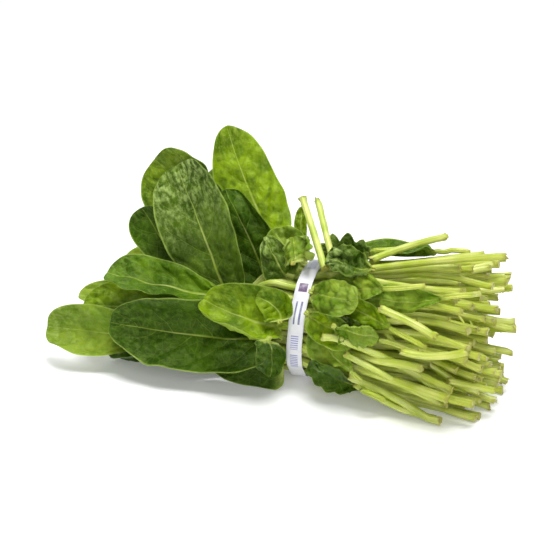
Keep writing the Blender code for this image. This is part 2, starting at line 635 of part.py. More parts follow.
def main():
    for old in list(bpy.data.objects):
        bpy.data.objects.remove(old)
    solids = lay_bunch()
    colours = {leaf.name: leaf.colour for leaf in CORE + MIDDLE + BEHIND + BEFORE + LOOSE}
    everything = np.concatenate([np.asarray(points) for points, _ in solids.values()])
    low, high = everything.min(axis=0), everything.max(axis=0)
    shift = np.array([(low[0] + high[0]) / 2, (low[1] + high[1]) / 2, low[2]])
    for name, solid in solids.items():
        add(name, solid, looks_of(name, colours), shift)
    return shift


SHIFT = main()
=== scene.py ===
"""The looks of a bunch of flat-leaf spinach, tied once round its stalks and lying on its side.

The bunch is first laid by the rules and sizes that its solids were made with.  Each leaf then
gets a fine skin with its midrib, veins and puckers, each bare stalk is swept with its ribs, and
the tie becomes a band of coated paper.  Lengths are millimetres until a mesh is made, and while
the bunch is laid, x = 0 is its waist, beside the tie, and y = 0 the middle of the stalks there.
"""

import math
from collections import namedtuple

import bpy
import numpy as np
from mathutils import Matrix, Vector
from mathutils.bvhtree import BVHTree


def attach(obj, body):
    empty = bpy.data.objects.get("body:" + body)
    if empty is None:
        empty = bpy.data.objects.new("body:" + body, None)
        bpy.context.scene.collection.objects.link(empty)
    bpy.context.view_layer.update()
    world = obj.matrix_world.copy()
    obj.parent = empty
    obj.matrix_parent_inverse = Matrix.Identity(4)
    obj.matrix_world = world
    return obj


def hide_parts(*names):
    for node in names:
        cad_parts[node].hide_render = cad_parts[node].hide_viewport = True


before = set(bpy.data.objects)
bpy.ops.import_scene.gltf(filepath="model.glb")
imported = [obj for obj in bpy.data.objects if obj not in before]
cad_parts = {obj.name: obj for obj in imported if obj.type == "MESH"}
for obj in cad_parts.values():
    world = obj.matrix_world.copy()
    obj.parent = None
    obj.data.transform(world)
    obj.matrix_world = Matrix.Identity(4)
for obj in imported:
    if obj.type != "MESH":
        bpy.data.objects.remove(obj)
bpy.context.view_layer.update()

# ---------------------------------------------------------------- driving dimensions
MM = 0.001  # a millimetre, in metres
WAIST_Z = 38.0  # height over the table of the middle of the stalks under the tie
WAIST_RADIUS = 34.0  # circle that holds the centre lines of the stalks under the tie
STALK_SLOTS = 104  # places for a stalk under the tie
STALK_RADIUS = (2.3, 2.85)  # thinnest and thickest stalk
PIECES = 60  # how many solids the bunch has: the stalks past them are inner_stems
STALK_GAP = 0.4  # least air between two stalks
STALK_REACH = 129.0  # how far from the waist the stalks are cut off, on average
STUB_X = 1.0  # where a stalk that has lost its blade ends
LEAF_THICK = 0.9
LOOSE_RADIUS, LOOSE_STALK = 1.6, 24.0  # of the small leaves that lie on the stalks
SCRAP_STALK = 1.5  # length of the stalk that a torn leaf still has
MIDRIB_DEEP = 1.0  # how far a midrib stands out under its blade, at the base
BLADE_CLEAR = 2.2  # from the middle of a blade to whatever it lies on
HIDE_DEPTH = 24.0  # a leaf this far behind another one passes behind it
TIE_X, TIE_LEAN = 5.0, 0.06  # middle of the tie along the bunch, and how far its top leans to +X
TIE_FREE_X = -2.0  # the tie holds every leaf as far as here
TIE_WIDTH = 10.0
TIE_THICK = 0.8
TIE_SLACK = 0.4  # air between the tie and what it holds

# Where along the bunch the stalks are packed side by side, and how the bunch opens there.
STATIONS = np.array([-14.0, 0.0, 16.0, 34.0, 54.0, 78.0, 102.0, 128.0])
TIE_STATION = 1
SPLAY_Y, SPLAY_Z = 0.98, 0.5  # growth of the width and height 120 mm right of the tie
LEAN_Y, LEAN_Z = -8.0, 4.0  # shift of the middle there

# ---------------------------------------------------------------- the leaves
# base, mid and tip are points on the midrib.  out is the way the leaf is pushed until it lies
# clear on the ones before it.  width is across the flattened blade, and face is the way its upper
# side looks.  fold is how far a half rises out of flat at the midrib and curl how far it goes on
# turning up to its edge, in degrees, for one half and then the other.  taper is larger for a
# blade that narrows sooner towards its tip, full is smaller for one with a rounder base.
FIELDS = "name base mid tip out tint width face fold curl taper full"
Leaf = namedtuple("Leaf", FIELDS, defaults=(0.5, 0.72))

FRONT, BACK, TOP, NEAR = (0, -0.93, 0.37), (0, 1, 0), (-0.1, -0.3, 1), (0.26, -0.9, 0.36)
UNDER_FRONT, UNDER_BACK = (0, -0.6, -0.8), (0, 0.6, -0.8)

# Kinds of leaf by colour. The deep kind is partly painted shade: it goes both to leaves that are dark
# of their own and to leaves that lie in shade, inside, under or behind the bunch.
BRIGHT, PLAIN, DARK_AND_SHADED, GREY, PALE = "bright", "plain", "deep", "grey", "pale"

CORE = [
    Leaf("leaf_core_low", (-24, 6, 29), (-66, 6, 21), (-108, 4, 21), FRONT, DARK_AND_SHADED,
         width=34, face=(0, -1, 0.2), fold=(10, 10), curl=(20, 20)),
    Leaf("leaf_core_mid", (-22, 2, 40), (-62, 4, 42), (-106, 2, 47), FRONT, DARK_AND_SHADED,
         width=36, face=(0, -1, 0.3), fold=(10, 10), curl=(20, 20)),
]
MIDDLE = [
    Leaf("leaf_blade", (-7, 24, 70), (-11, 34, 86), (-12, 41, 100), FRONT, BRIGHT,
         width=9, face=(0, -1, 0.1), fold=(5, 5), curl=(10, 10)),
    Leaf("leaf_tall", (-20, 17, 72), (-48, 36, 112), (-66, 48, 149), FRONT, BRIGHT,
         width=43, face=(0.1, -1, 0.3), fold=(8, -5), curl=(22, -45), taper=0.56, full=0.45),
    Leaf("leaf_behind", (-31, 13, 51), (-71, 18, 96), (-108, 23, 130), FRONT, BRIGHT,
         width=60, face=(-0.1, -1, 0.1), fold=(4, 4), curl=(15, 30), taper=0.36),
    Leaf("leaf_low_back", (-78, 3, 36), (-119, -1, 39), (-154, -6, 39), FRONT, PALE,
         width=25, face=(0, -0.5, 1), fold=(8, 8), curl=(20, 20)),
    Leaf("leaf_dark", (-25, 7, 52), (-37, 10, 83), (-54, 17.5, 115), FRONT, DARK_AND_SHADED,
         width=38, face=(0.1, -1, 0), fold=(8, 8), curl=(10, 25), full=0.4),
    Leaf("leaf_left", (-76, -3, 57), (-96, 2, 80), (-111, 4, 102), FRONT, DARK_AND_SHADED,
         width=32, face=(-0.2, -1, 0.2), fold=(8, 8), curl=(20, 20), taper=0.36),
    Leaf("leaf_face", (-45, -9, 44), (-66, -7, 93), (-87, 8, 132), FRONT, GREY,
         width=53, face=(0, -1, 0), fold=(3, 3), curl=(10, 14), taper=0.32, full=0.42),
]
BEHIND = [
    Leaf("leaf_back_high", (-22, 20, 58), (-52, 38, 90), (-82, 54, 112), BACK, PLAIN,
         width=44, face=(0.2, 1, 0.1), fold=(5, 5), curl=(20, 20)),
    Leaf("leaf_back_mid", (-40, 16, 46), (-88, 21, 52), (-132, 20, 54), BACK, BRIGHT,
         width=38, face=(0, 1, 0.3), fold=(10, 10), curl=(20, 25)),
    Leaf("leaf_back_shelf", (-26, 24, 54), (-66, 34, 62), (-102, 40, 72), BACK, BRIGHT,
         width=44, face=(0, 1, 0.7), fold=(10, 10), curl=(20, 20)),
    Leaf("leaf_back_far", (-52, 22, 25), (-100, 28.5, 26), (-146, 26, 22), BACK, PLAIN,
         width=41, face=(0, 1, 0.2), fold=(8, 8), curl=(25, 20)),
    Leaf("leaf_back_under", (-30, 18, 8), (-70, 20, 6), (-108, 22, 8), UNDER_BACK, DARK_AND_SHADED,
         width=34, face=(0, 0.5, -1), fold=(5, 5), curl=(10, 10)),
    Leaf("leaf_back_dark", (-10, 28, 17), (-42, 34, 14), (-78, 37, 17), BACK, DARK_AND_SHADED,
         width=34, face=(0, 1, -0.2), fold=(8, 8), curl=(20, 15)),
    Leaf("leaf_back_broad", (-8, 32, 34), (-58, 38, 36), (-112, 36, 42), BACK, PLAIN,
         width=56, face=(0, 1, 0.1), fold=(8, 4), curl=(20, 20)),
    Leaf("leaf_back_cup", (-10, 30, 50), (-38, 46, 60), (-72, 54, 74), BACK, BRIGHT,
         width=42, face=(0, 1, 0.6), fold=(30, 10), curl=(40, 20)),
]
BEFORE = [
    Leaf("leaf_low_mid", (-62, -13, 34), (-107, -15, 38.5), (-146, -17, 38), FRONT, BRIGHT,
         width=36, face=(0, -0.6, 0.9), fold=(8, 8), curl=(20, 20)),
    Leaf("leaf_far", (-90, -23.5, 23), (-126, -29.5, 25), (-168, -28, 24), FRONT, PALE,
         width=38, face=(0, -1, 0.3), fold=(10, 5), curl=(45, 15), taper=0.4),
    Leaf("leaf_under", (-36, -14, 8), (-83, -19, 7), (-128, -22, 9), UNDER_FRONT, DARK_AND_SHADED,
         width=44, face=(0, -0.6, -0.8), fold=(5, 5), curl=(10, 10)),
    Leaf("leaf_shelf", (-43, -19, 52), (-86, -24, 61), (-126, -24, 65), FRONT, PLAIN,
         width=38, face=(0, -0.4, 1), fold=(8, 4), curl=(14, 12), taper=0.4),
    Leaf("leaf_shadow", (-5.5, -32, 21), (-24, -33, 18), (-56, -30, 14), FRONT, DARK_AND_SHADED,
         width=40, face=(0, -1, -0.3), fold=(5, 5), curl=(20, 20), full=0.26),
    Leaf("leaf_broad", (-7, -30, 35), (-60, -35, 33), (-119, -34, 35), FRONT, DARK_AND_SHADED,
         width=54, face=(0, -1, 0.1), fold=(22, 4), curl=(35, 12), taper=0.4, full=0.36),
    Leaf("leaf_cup", (-5.5, -34.5, 46), (-25, -42.5, 51.5), (-54, -39, 60), FRONT, BRIGHT,
         width=46, face=(0, -0.75, 0.65), fold=(12, 8), curl=(60, 15), taper=0.36, full=0.24),
    Leaf("leaf_curl", (-5, 8, 72), (-13, 4, 84), (-22, 6, 95), FRONT, PALE,
         width=29, face=(0.3, -1, 0.3), fold=(20, 15), curl=(50, -30), full=0.45),
    Leaf("leaf_nook", (-7, -9, 66), (-14, -7, 78), (-24, 0, 91), FRONT, GREY,
         width=28, face=(0.2, -1, 0.2), fold=(10, 10), curl=(30, 30), full=0.3),
]
# Small leaves whose stalks never reach the tie: they lie on the stalks, tip towards the tie.
LOOSE = [
    Leaf("leaf_loose_back", (82, 34, 65), (57, 26, 72), (24, 14, 76), TOP, PLAIN,
         width=36, face=(0, -0.3, 1), fold=(10, 10), curl=(20, 20)),
    Leaf("leaf_loose_top", (46, 4, 76), (29, -3, 85), (13, -10, 83), TOP, GREY,
         width=32, face=(0, -0.6, 1), fold=(15, 5), curl=(60, 30)),
    Leaf("leaf_loose_pale", (87, -7, 65), (64, -15, 63), (39, -24, 69), NEAR, PALE,
         width=20, face=(0, -0.7, 0.7), fold=(10, 10), curl=(20, 20)),
    Leaf("leaf_loose_crisp", (54, -14, 70), (38, -22, 70), (22, -28, 65), NEAR, PALE,
         width=26, face=(0, -0.8, 0.6), fold=(15, 10), curl=(30, 40)),
    # Tinted bright, lighter than its own green, for the shade that its neighbours cast on it: painted
    # light.
    Leaf("leaf_loose_long", (62, -28, 50), (46, -33, 60), (28, -33, 67), NEAR, BRIGHT,
         width=18, face=(0, -1, 0.3), fold=(10, 10), curl=(20, 20)),
    Leaf("leaf_loose_curl", (58, -35, 44), (46, -41, 49), (34, -38, 57), NEAR, GREY,
         width=17, face=(0, -1, 0.3), fold=(20, 10), curl=(50, 40)),
    # Tinted pale, lighter than its own green, for the shade that its neighbours cast on it: painted
    # light.
    Leaf("leaf_loose_front", (41, -38, 22), (29, -41, 34), (16, -38, 47), NEAR, PALE,
         width=24, face=(0.3, -1, 0), fold=(10, 10), curl=(25, 25)),
    Leaf("leaf_loose_low", (46, -32, 8), (30, -36, 15), (14, -35, 24), NEAR, DARK_AND_SHADED,
         width=22, face=(0.2, -1, -0.2), fold=(10, 10), curl=(20, 20)),
]

# Torn and crumpled leaves round the tie, too small to be parts of their own.
SCRAPS = [
    Leaf("scrap_crest", (-2, -3, 77), (-3, -4, 85), (-7, 0, 93), FRONT, PALE,
         width=30, face=(0.3, -1, 0.4), fold=(20, 15), curl=(60, -20), full=0.4),
    Leaf("scrap_fill", (-3.5, -34, 49), (-9, -33, 58), (-20, -33, 63), FRONT, BRIGHT,
         width=24, face=(0, -0.8, 0.7), fold=(10, 10), curl=(20, 30), taper=0.4, full=0.25),
    Leaf("scrap_skirt", (-6, -34, 36), (-8, -37, 25), (-12, -36, 10), FRONT, DARK_AND_SHADED,
         width=18, face=(0, -1, 0), fold=(10, 10), curl=(20, 20), full=0.4),
    Leaf("scrap_ridge", (46, -9, 80), (32, -14, 84), (19, -16, 87), NEAR, GREY,
         width=26, face=(0, -1, 0.6), fold=(15, 10), curl=(50, 20)),
    Leaf("scrap_veil", (14, -30, 69), (25, -30, 67), (40, -23, 64), NEAR, PALE,
         width=26, face=(0, -0.8, 0.6), fold=(15, 10), curl=(40, -20)),
    Leaf("scrap_wedge", (13, -39, 58), (25, -41, 52), (45, -37, 42), NEAR, BRIGHT,
         width=24, face=(0.1, -1, 0.3), fold=(25, 5), curl=(30, 20)),
    Leaf("scrap_torn", (30, -39, 52), (42, -40, 49), (57, -35, 46), NEAR, PALE,
         width=19, face=(0, -1, 0.5), fold=(20, 20), curl=(60, -40)),
]

# Bare stalks that lie loose on the bunch, or stand up out of it.
Stick = namedtuple("Stick", "name foot head radius out")
UNDER_LOOSE = [
    Stick("stalk_over", (21, -19, 77), (120, 24, 84), 2.6, NEAR),
    Stick("stalk_across", (40, -16, 76), (99, -2, 68), 2.5, NEAR),
]
OVER_LOOSE = [
    Stick("stalk_upright", (16, 6, 79), (-8, 27, 111), 2.8, FRONT),
    Stick("stalk_leaning", (21, 9, 83), (2, 27, 111), 2.5, FRONT),
    Stick("stalk_top", (43, 1, 82), (87, 28, 93), 2.5, NEAR),
    Stick("stalk_snapped", (55, -28, 62), (89, -27, 47), 2.7, NEAR),
    Stick("stalk_bent", (71, -38, 40), (108, -28, 41), 2.6, NEAR),
    Stick("stalk_stub", (103, -42, 25), (127, -19, 12), 2.5, NEAR),
]
# Thin stalks lost among the others: points along each, and its radius.
STRAYS = [
    (((27, -56, 51), (42, -57, 50), (75, -54, 37), (107, -51, 19)), 2.3),
    (((42, -56, 41), (71, -57, 29), (101, -55, 15)), 2.0),
    (((44, -51, 24), (73, -53, 14), (103, -56, 0)), 2.3),
    (((64, -42, 53), (72, -46, 46), (82, -47, 42), (111, -40, 41)), 1.8),
    (((85, -43, 54), (87, -47, 48), (89, -49, 42)), 2.2),
    (((100, -18, 71), (110, -23, 63), (117, -27, 53)), 0.9),
    (((97, -19, 71), (106, -25, 62), (114, -28, 52)), 0.8),
    (((95, -2, 77), (108, 2, 82), (122, 7, 86)), 2.3),
    (((88, -9, 75), (107, -3, 82), (120, 2, 85)), 2.0),
    (((47, -50, 18), (77, -53, 7), (99, -52, 3)), 1.9),
    (((93, -44, 35), (112, -45, 24), (124, -43, 20)), 2.0),
    (((93, -17, 67), (114, -11, 73), (130, -6, 74)), 2.0),
]


def unit(v):
    v = np.asarray(v, float)
    return v / np.linalg.norm(v)


def smooth(x):
    x = np.clip(x, 0.0, 1.0)
    return x * x * (3 - 2 * x)


def read_between(values, at):
    """Rows of values at fractional places, on a smooth curve through them."""
    padded = np.concatenate([2 * values[:1] - values[1:2], values, 2 * values[-1:] - values[-2:-1]])
    k = np.clip(np.floor(at).astype(int), 0, len(values) - 2)
    u = (at - k).reshape(-1, *[1] * (values.ndim - 1))
    p, q, r, s = (padded[k + j] for j in range(4))
    return q + 0.5 * u * (r - p + u * (2 * p - 5 * q + 4 * r - s + u * (3 * (q - r) + s - p)))


def uneven(points, seed, length):
    """Smooth unevenness between about -1 and 1, with bumps this long."""
    rng = np.random.default_rng(seed)
    total = np.zeros(points.shape[:-1])
    for _ in range(7):
        way = unit(rng.normal(size=3)) * 2 * math.pi / (length * rng.uniform(0.6, 1.6))
        total += np.sin(points @ way + rng.uniform(0, 2 * math.pi))
    return total / 3.5


# ---------------------------------------------------------------- stalks
def splay(x):
    """Middle and half-axes (y, z) of the stalks' cross-section, x along the bunch."""
    right, left = max(x, 0.0) / 120.0, max(-x, 0.0) / 14.0
    middle = np.array([LEAN_Y * right, WAIST_Z + LEAN_Z * right + 1.0 * left])
    growth = np.array([1 + SPLAY_Y * right + 0.04 * left, 1 + SPLAY_Z * right + 0.04 * left])
    return middle, WAIST_RADIUS * growth


def pack(points, radii, middle, half, gap):
    """Pushes discs apart until there is a gap between them, in the ellipse and over the table."""
    reach = radii[:, None] + radii[None, :] + gap
    for _ in range(500):
        apart = points[:, None] - points[None]
        distance = np.linalg.norm(apart, axis=2) + np.eye(len(points)) * 1e3
        overlap = np.clip(reach - distance, 0, None)
        points = points + 0.5 * (apart / distance[..., None] * overlap[..., None]).sum(axis=1)
        around = (points - middle) / half
        far = np.maximum(np.linalg.norm(around, axis=1), 1.0)[:, None]
        points = middle + around / (1 + 0.7 * (far - 1)) * half
        points[:, 1] = np.maximum(points[:, 1], radii)
    return points


def lay_stalks():
    """Centres of every stalk at each station, their radii, and where each is cut off."""
    rng = np.random.default_rng(7)
    n = np.arange(STALK_SLOTS)
    r = np.sqrt((n + 0.5) / STALK_SLOTS)
    turn = n * math.pi * (3 - math.sqrt(5))
    radii = rng.uniform(*STALK_RADIUS, STALK_SLOTS)
    stray = rng.normal(0, 0.13, (STALK_SLOTS, 2))
    tracks = np.zeros((STALK_SLOTS, len(STATIONS), 3))
    tracks[:, :, 0] = STATIONS
    middle, half = splay(0.0)
    disc = np.stack([r * np.cos(turn), r * np.sin(turn)], axis=1)
    tracks[:, TIE_STATION, 1:] = pack(middle + disc * half, radii, middle, half, STALK_GAP)
    order = [(0, 1)] + [(k, k - 1) for k in range(TIE_STATION + 1, len(STATIONS))]
    for k, before in order:
        middle_a, half_a = splay(STATIONS[before])
        middle_b, half_b = splay(STATIONS[k])
        share = (tracks[:, before, 1:] - middle_a) / half_a
        gap = STALK_GAP + max(STATIONS[k], 0) * 0.012
        share += stray * max(STATIONS[k] - STATIONS[before], 0) / 110.0
        tracks[:, k, 1:] = pack(middle_b + share * half_b, radii, middle_b, half_b, gap)
    aside = ((tracks[:, -2, 1:] - [0, WAIST_Z]) ** 2).sum(axis=1)
    reach = STALK_REACH + rng.normal(0, 9, STALK_SLOTS).clip(-26, 8)
    return tracks, radii, np.sqrt(reach**2 - 1.2 * aside)


def along(track, x):
    """The track's point at each x, on a smooth curve through its stations."""
    x = np.atleast_1d(x)
    slopes = np.gradient(track[:, 1:], STATIONS, axis=0)
    k = np.clip(np.searchsorted(STATIONS, x) - 1, 0, len(STATIONS) - 2)
    step = STATIONS[k + 1] - STATIONS[k]
    u = ((x - STATIONS[k]) / step)[:, None]
    step = step[:, None]
    yz = (
        (2 * u**3 - 3 * u**2 + 1) * track[k, 1:]
        + (u**3 - 2 * u**2 + u) * step * slopes[k]
        + (3 * u**2 - 2 * u**3) * track[k + 1, 1:]
        + (u**3 - u**2) * step * slopes[k + 1]
    )
    return np.concatenate([x[:, None], yz], axis=1)


def stations_to(end):
    """The x of a stalk's rings, from its cut end back past the tie."""
    inner = [x for x in STATIONS[::-1] if STUB_X < x < end - 9]
    return np.array([end] + inner + [STUB_X])


# ---------------------------------------------------------------- leaf surfaces
STALK_ROWS = 8  # rows of a leaf's grid from the tie to the blade
BLADE_ROWS = 17  # rows from the blade's base to its tip
COLUMNS = 13  # points across
CENTRE = COLUMNS // 2
WAVES, WAVE_HEIGHT = 11.0, 0.06  # radians of wave along a blade's edge, and its share of the width


def outline(s, rise, fall):
    """Half-width of the blade from base (0) to tip (1), as a share of the widest."""
    peak = (rise / (rise + fall)) ** rise * (fall / (rise + fall)) ** fall
    return s**rise * (1 - s) ** fall / peak


def across(a, fold, curl):
    """(sideways, up) at share a of a half that leaves the midrib at fold and turns by curl."""
    if abs(curl) < 1e-3:
        return a * math.cos(fold), a * math.sin(fold)
    sideways = (math.sin(fold + curl * a) - math.sin(fold)) / curl
    return sideways, (math.cos(fold) - math.cos(fold + curl * a)) / curl


def blade_grid(leaf, radius, phase):
    """Middle surface of the blade: rows from base to tip, columns from one edge to the other."""
    base, mid, tip = (np.array(p, float) for p in (leaf.base, leaf.mid, leaf.tip))
    bow = 2 * mid - (base + tip) / 2
    s = (1 - np.cos(np.linspace(0, math.pi, BLADE_ROWS)))[:, None] / 2
    line = (1 - s) ** 2 * base + 2 * s * (1 - s) * bow + s**2 * tip
    heading = 2 * (1 - s) * (bow - base) + 2 * s * (tip - bow)
    heading /= np.linalg.norm(heading, axis=1, keepdims=True)
    side = np.cross(heading, unit(leaf.face))
    side /= np.linalg.norm(side, axis=1, keepdims=True)
    up = np.cross(side, heading)
    half_width = leaf.width / 2 * outline(s, leaf.full, leaf.taper)
    half_width = np.maximum(half_width, radius * np.clip(1 - 2 * s, 0, 1))
    opened = smooth(s / 0.2)
    grid = np.zeros((BLADE_ROWS, COLUMNS, 3))
    for k, share in enumerate(np.linspace(-1, 1, COLUMNS)):
        which = 0 if share < 0 else 1
        fold, curl = math.radians(leaf.fold[which]), math.radians(leaf.curl[which])
        sideways, rise = across(abs(share), fold, curl)
        wave = np.sin(s * WAVES + phase + 2.1 * which) * share**2 * WAVE_HEIGHT
        grid[:, k] = line + side * half_width * math.copysign(sideways, share)
        grid[:, k] += up * half_width * (rise * opened + wave)
    return grid


def stalk_line(start, out, base, heading):
    """Points from where the leaf leaves the tie to the blade's base."""
    reach = np.linalg.norm(base - start)
    a, b = start + out * reach * 0.4, base - heading * reach * 0.35
    u = np.linspace(0, 1, STALK_ROWS + 1)[:-1, None]
    return (1 - u) ** 3 * start + 3 * u * (1 - u) ** 2 * a + 3 * u**2 * (1 - u) * b + u**3 * base


def leaf_grid(leaf, radius, phase, start, out):
    """The whole leaf beyond start as one grid: stalk rows, then blade rows."""
    blade = blade_grid(leaf, radius, phase)
    base = blade[0, CENTRE]
    stalk = stalk_line(start, out, base, unit(blade[1, CENTRE] - base))
    return np.concatenate([np.repeat(stalk[:, None], COLUMNS, axis=1), blade])


def spread(values):
    """Each value raised to the largest of its neighbours."""
    padded = np.pad(values, 1, mode="edge")
    rows, columns = values.shape
    windows = [padded[j : j + rows, i : i + columns] for j in range(3) for i in range(3)]
    return np.max(windows, axis=0)


def soften(values):
    padded = np.pad(values, 1, mode="edge")
    return (padded[:-2, 1:-1] + padded[2:, 1:-1] + padded[1:-1, :-2] + padded[1:-1, 2:]) / 4


def settle(grid, radius, out, laid, held):
    """Lifts the grid along out until it lies clear of everything laid before it."""
    out = unit(out)
    hide = HIDE_DEPTH if held else math.inf
    need = np.zeros(grid.shape[:2])
    beside = unit(np.cross(out, unit(grid[STALK_ROWS, CENTRE] - grid[0, CENTRE])))
    for j, row in enumerate(grid):
        if held and row[CENTRE, 0] > TIE_FREE_X - 2:
            continue
        thick = np.clip((STALK_ROWS + 5 - j) / 5, 0, 1) * radius
        clear = BLADE_CLEAR + thick
        for i, point in enumerate(row):
            if j <= STALK_ROWS:
                point = point + beside * radius * 1.2 * (i - CENTRE) / CENTRE
            hit, normal, _, _ = laid.ray_cast(Vector(point + out * 400), Vector(-out), 800)
            if hit is not None and float((np.array(hit) - point) @ out) < hide:
                slant = max(abs(np.array(normal) @ out), 0.45)
                need[j, i] = max(0.0, clear / slant - float((point - np.array(hit)) @ out))
    need[: STALK_ROWS + 1] = need[: STALK_ROWS + 1].max(axis=1, keepdims=True)
    need = spread(need)
    lift = need
    for _ in range(10):
        lift = np.maximum(need, (lift + soften(lift)) / 2)
    lift[: STALK_ROWS + 1] = lift[: STALK_ROWS + 1].max(axis=1, keepdims=True)
    lift[-1] = lift[-1, CENTRE]
    if held:
        steps = np.linalg.norm(np.diff(grid[:, CENTRE], axis=0), axis=1)
        beyond = np.cumsum(np.append(0, steps) * (grid[:, CENTRE, 0] < TIE_FREE_X))
        lift = lift * smooth(beyond / 11.0)[:, None]
    grid = grid + out * lift[..., None]
    grid[..., 2] = np.maximum(grid[..., 2], LEAF_THICK / 2)
    return grid


def drop(stick, laid):
    """The stick's solid, moved along out until it lies straight and clear of what is laid."""
    out, foot, head = unit(stick.out), np.array(stick.foot, float), np.array(stick.head, float)
    beside = unit(np.cross(out, head - foot))
    share = np.linspace(0, 1, 25)
    need = np.zeros(len(share))
    for k, u in enumerate(share):
        for aside in (-1, 0, 1):
            point = foot + (head - foot) * u + beside * aside * stick.radius
            hit, normal, _, _ = laid.ray_cast(Vector(point + out * 400), Vector(-out), 800)
            if hit is not None:
                above = float((point - np.array(hit)) @ out)
                slant = max(abs(np.array(normal) @ out), 0.6)
                need[k] = max(need[k], (stick.radius + 0.6) / slant - above)
    first = np.linspace(need[0], need[0] + need.max() + 1, 80)
    last = np.array([((need - a * (1 - share))[1:] / share[1:]).max() for a in first]).clip(need[-1])
    best = int(np.argmin(first + last))
    foot, head = foot + out * first[best], head + out * last[best]
    return stalk_solid(head + (foot - head) * np.linspace(0, 1, 3)[:, None], stick.radius)


# ---------------------------------------------------------------- solids
def heading_at(line, k):
    return unit(line[min(k + 1, len(line) - 1)] - line[max(k - 1, 0)])


def tube_rings(line, radius, side, corners):
    """Rings of a round stalk, with corner 0 on the far side of the line from side."""
    sides = [unit(side)]
    for k in range(len(line) - 1, -1, -1):
        heading = heading_at(line, k)
        sides.append(unit(sides[-1] - heading * (sides[-1] @ heading)))
    sides = sides[:0:-1]
    angle = math.pi - 2 * math.pi * np.arange(corners) / corners
    rings = []
    for k, centre in enumerate(line):
        up = np.cross(sides[k], heading_at(line, k))
        ring = np.cos(angle)[:, None] * sides[k] + np.sin(angle)[:, None] * up
        rings.append(centre + radius * ring)
    return rings


def blade_rings(grid, radius, halves):
    """Closed rings round the blade: over its upper side from edge to edge, and back below."""
    normal = np.cross(np.gradient(grid, axis=1), np.gradient(grid, axis=0))
    normal /= np.linalg.norm(normal, axis=2, keepdims=True) + 1e-9
    picked = slice(0, COLUMNS, CENTRE // halves)
    last = len(grid) - 1
    rings = []
    for j in range(2, last, 2):
        surface, up = grid[j, picked], normal[j, picked]
        rib = np.zeros((len(surface), 1))
        rib[halves] = (MIDRIB_DEEP + radius) * (1 - j / last) ** 2
        top = surface + up * LEAF_THICK / 2
        under = surface - up * (LEAF_THICK / 2 + rib)
        top[0], top[-1] = surface[0], surface[-1]
        ring = np.concatenate([top, under[-2:0:-1]])
        ring[:, 2] = np.maximum(ring[:, 2], 0.0)
        rings.append(ring)
    return rings


def skin(rings, first, last):
    """(points, faces) of one closed skin through the rings, ending in a point at either end.

    The triangles of a blade's upper side and underside are split the same way, so that they
    stay apart where the blade is twisted.
    """
    count = len(rings[0])
    points = [p for ring in rings for p in ring] + [first, last]
    faces = []
    for k in range(len(rings) - 1):
        a, b = k * count, (k + 1) * count
        for i in range(count):
            j = (i + 1) % count
            if i < count // 2:
                faces += [(a + i, a + j, b + j), (a + i, b + j, b + i)]
            else:
                faces += [(a + i, a + j, b + i), (a + j, b + j, b + i)]
    start, end, top = len(points) - 2, len(points) - 1, (len(rings) - 1) * count
    for i in range(count):
        j = (i + 1) % count
        faces.append((start, j, i))
        faces.append((end, top + i, top + j))
    return points, faces


def leaf_solid(leaf, grid, before, radius):
    """A leaf whose stalk runs along before, then along its grid."""
    halves = 3 if leaf.width > 43 else 2
    line = np.concatenate([before, grid[:STALK_ROWS:2, 0], grid[STALK_ROWS : STALK_ROWS + 1, CENTRE]])
    side = grid[STALK_ROWS + 3, -1] - grid[STALK_ROWS + 3, 0]
    rings = tube_rings(line, radius, side, 4 * halves)
    rings += blade_rings(grid[STALK_ROWS:], radius, halves)
    return skin(rings, line[0], grid[-1, CENTRE])


def stalk_solid(line, radius, corners=6):
    return skin(tube_rings(line, radius, (0, 1, 0), corners), line[0], line[-1])


# ---------------------------------------------------------------- the tie
def cut(solids, x):
    """Where the solids' edges cross the tie's plane, moved along the bunch by x, as (y, z)."""
    crossing = []
    for points, faces in solids:
        points = np.array(points)
        points[:, 0] -= TIE_X + TIE_LEAN * (points[:, 2] - WAIST_Z)
        crossing += [p[1:] for p in points if abs(p[0]) < TIE_WIDTH / 2]
        for face in faces:
            for a, b in zip(face, face[1:] + face[:1]):
                p, q = points[a], points[b]
                if (p[0] - x) * (q[0] - x) < 0:
                    crossing.append((p + (q - p) * (x - p[0]) / (q[0] - p[0]))[1:])
    return crossing


def hull(points):
    """Convex outline of 2-D points, anticlockwise."""

    def half(ordered):
        kept = []
        for p in ordered:
            while len(kept) > 1 and np.cross(kept[-1] - kept[-2], p - kept[-2]) <= 0:
                kept.pop()
            kept.append(p)
        return kept[:-1]

    points = [np.array(p) for p in sorted(map(tuple, points))]
    return np.array(half(points) + half(points[::-1]))


def reach_of(held, angle):
    """Distance from the waist's middle to the outline of what the tie holds, at each angle."""
    corners = hull(held - np.array([0.0, WAIST_Z]))
    reach = []
    for a in angle:
        way = np.array([math.cos(a), math.sin(a)])
        best = 0.0
        for p, q in zip(corners, np.roll(corners, -1, axis=0)):
            edge = q - p
            area = np.cross(way, edge)
            if abs(area) > 1e-9 and -1e-6 <= np.cross(way, -p) / area <= 1 + 1e-6:
                best = max(best, np.cross(p, edge) / area)
        reach.append(best)
    return np.array(reach)


def tie_solid(held):
    angle = np.linspace(0, 2 * math.pi, 64, endpoint=False)
    reach = reach_of(np.array(held), angle)
    reach = np.maximum(reach, (np.roll(reach, 1) + np.roll(reach, -1)) / 2) + TIE_SLACK
    around = np.stack([np.zeros_like(angle), np.cos(angle), np.sin(angle)], axis=1)
    points = []
    for x, r in ((-0.5, reach + TIE_THICK), (0.5, reach + TIE_THICK), (0.5, reach), (-0.5, reach)):
        ring = np.array([TIE_X + x * TIE_WIDTH, 0, WAIST_Z]) + around * r[:, None]
        ring[:, 0] += TIE_LEAN * (ring[:, 2] - WAIST_Z)
        points += list(ring)
    count = len(angle)
    faces = []
    for k in range(4):
        a, b = k * count, ((k + 1) % 4) * count
        for i in range(count):
            j = (i + 1) % count
            faces.append((a + i, a + j, b + j, b + i))
    return points, faces


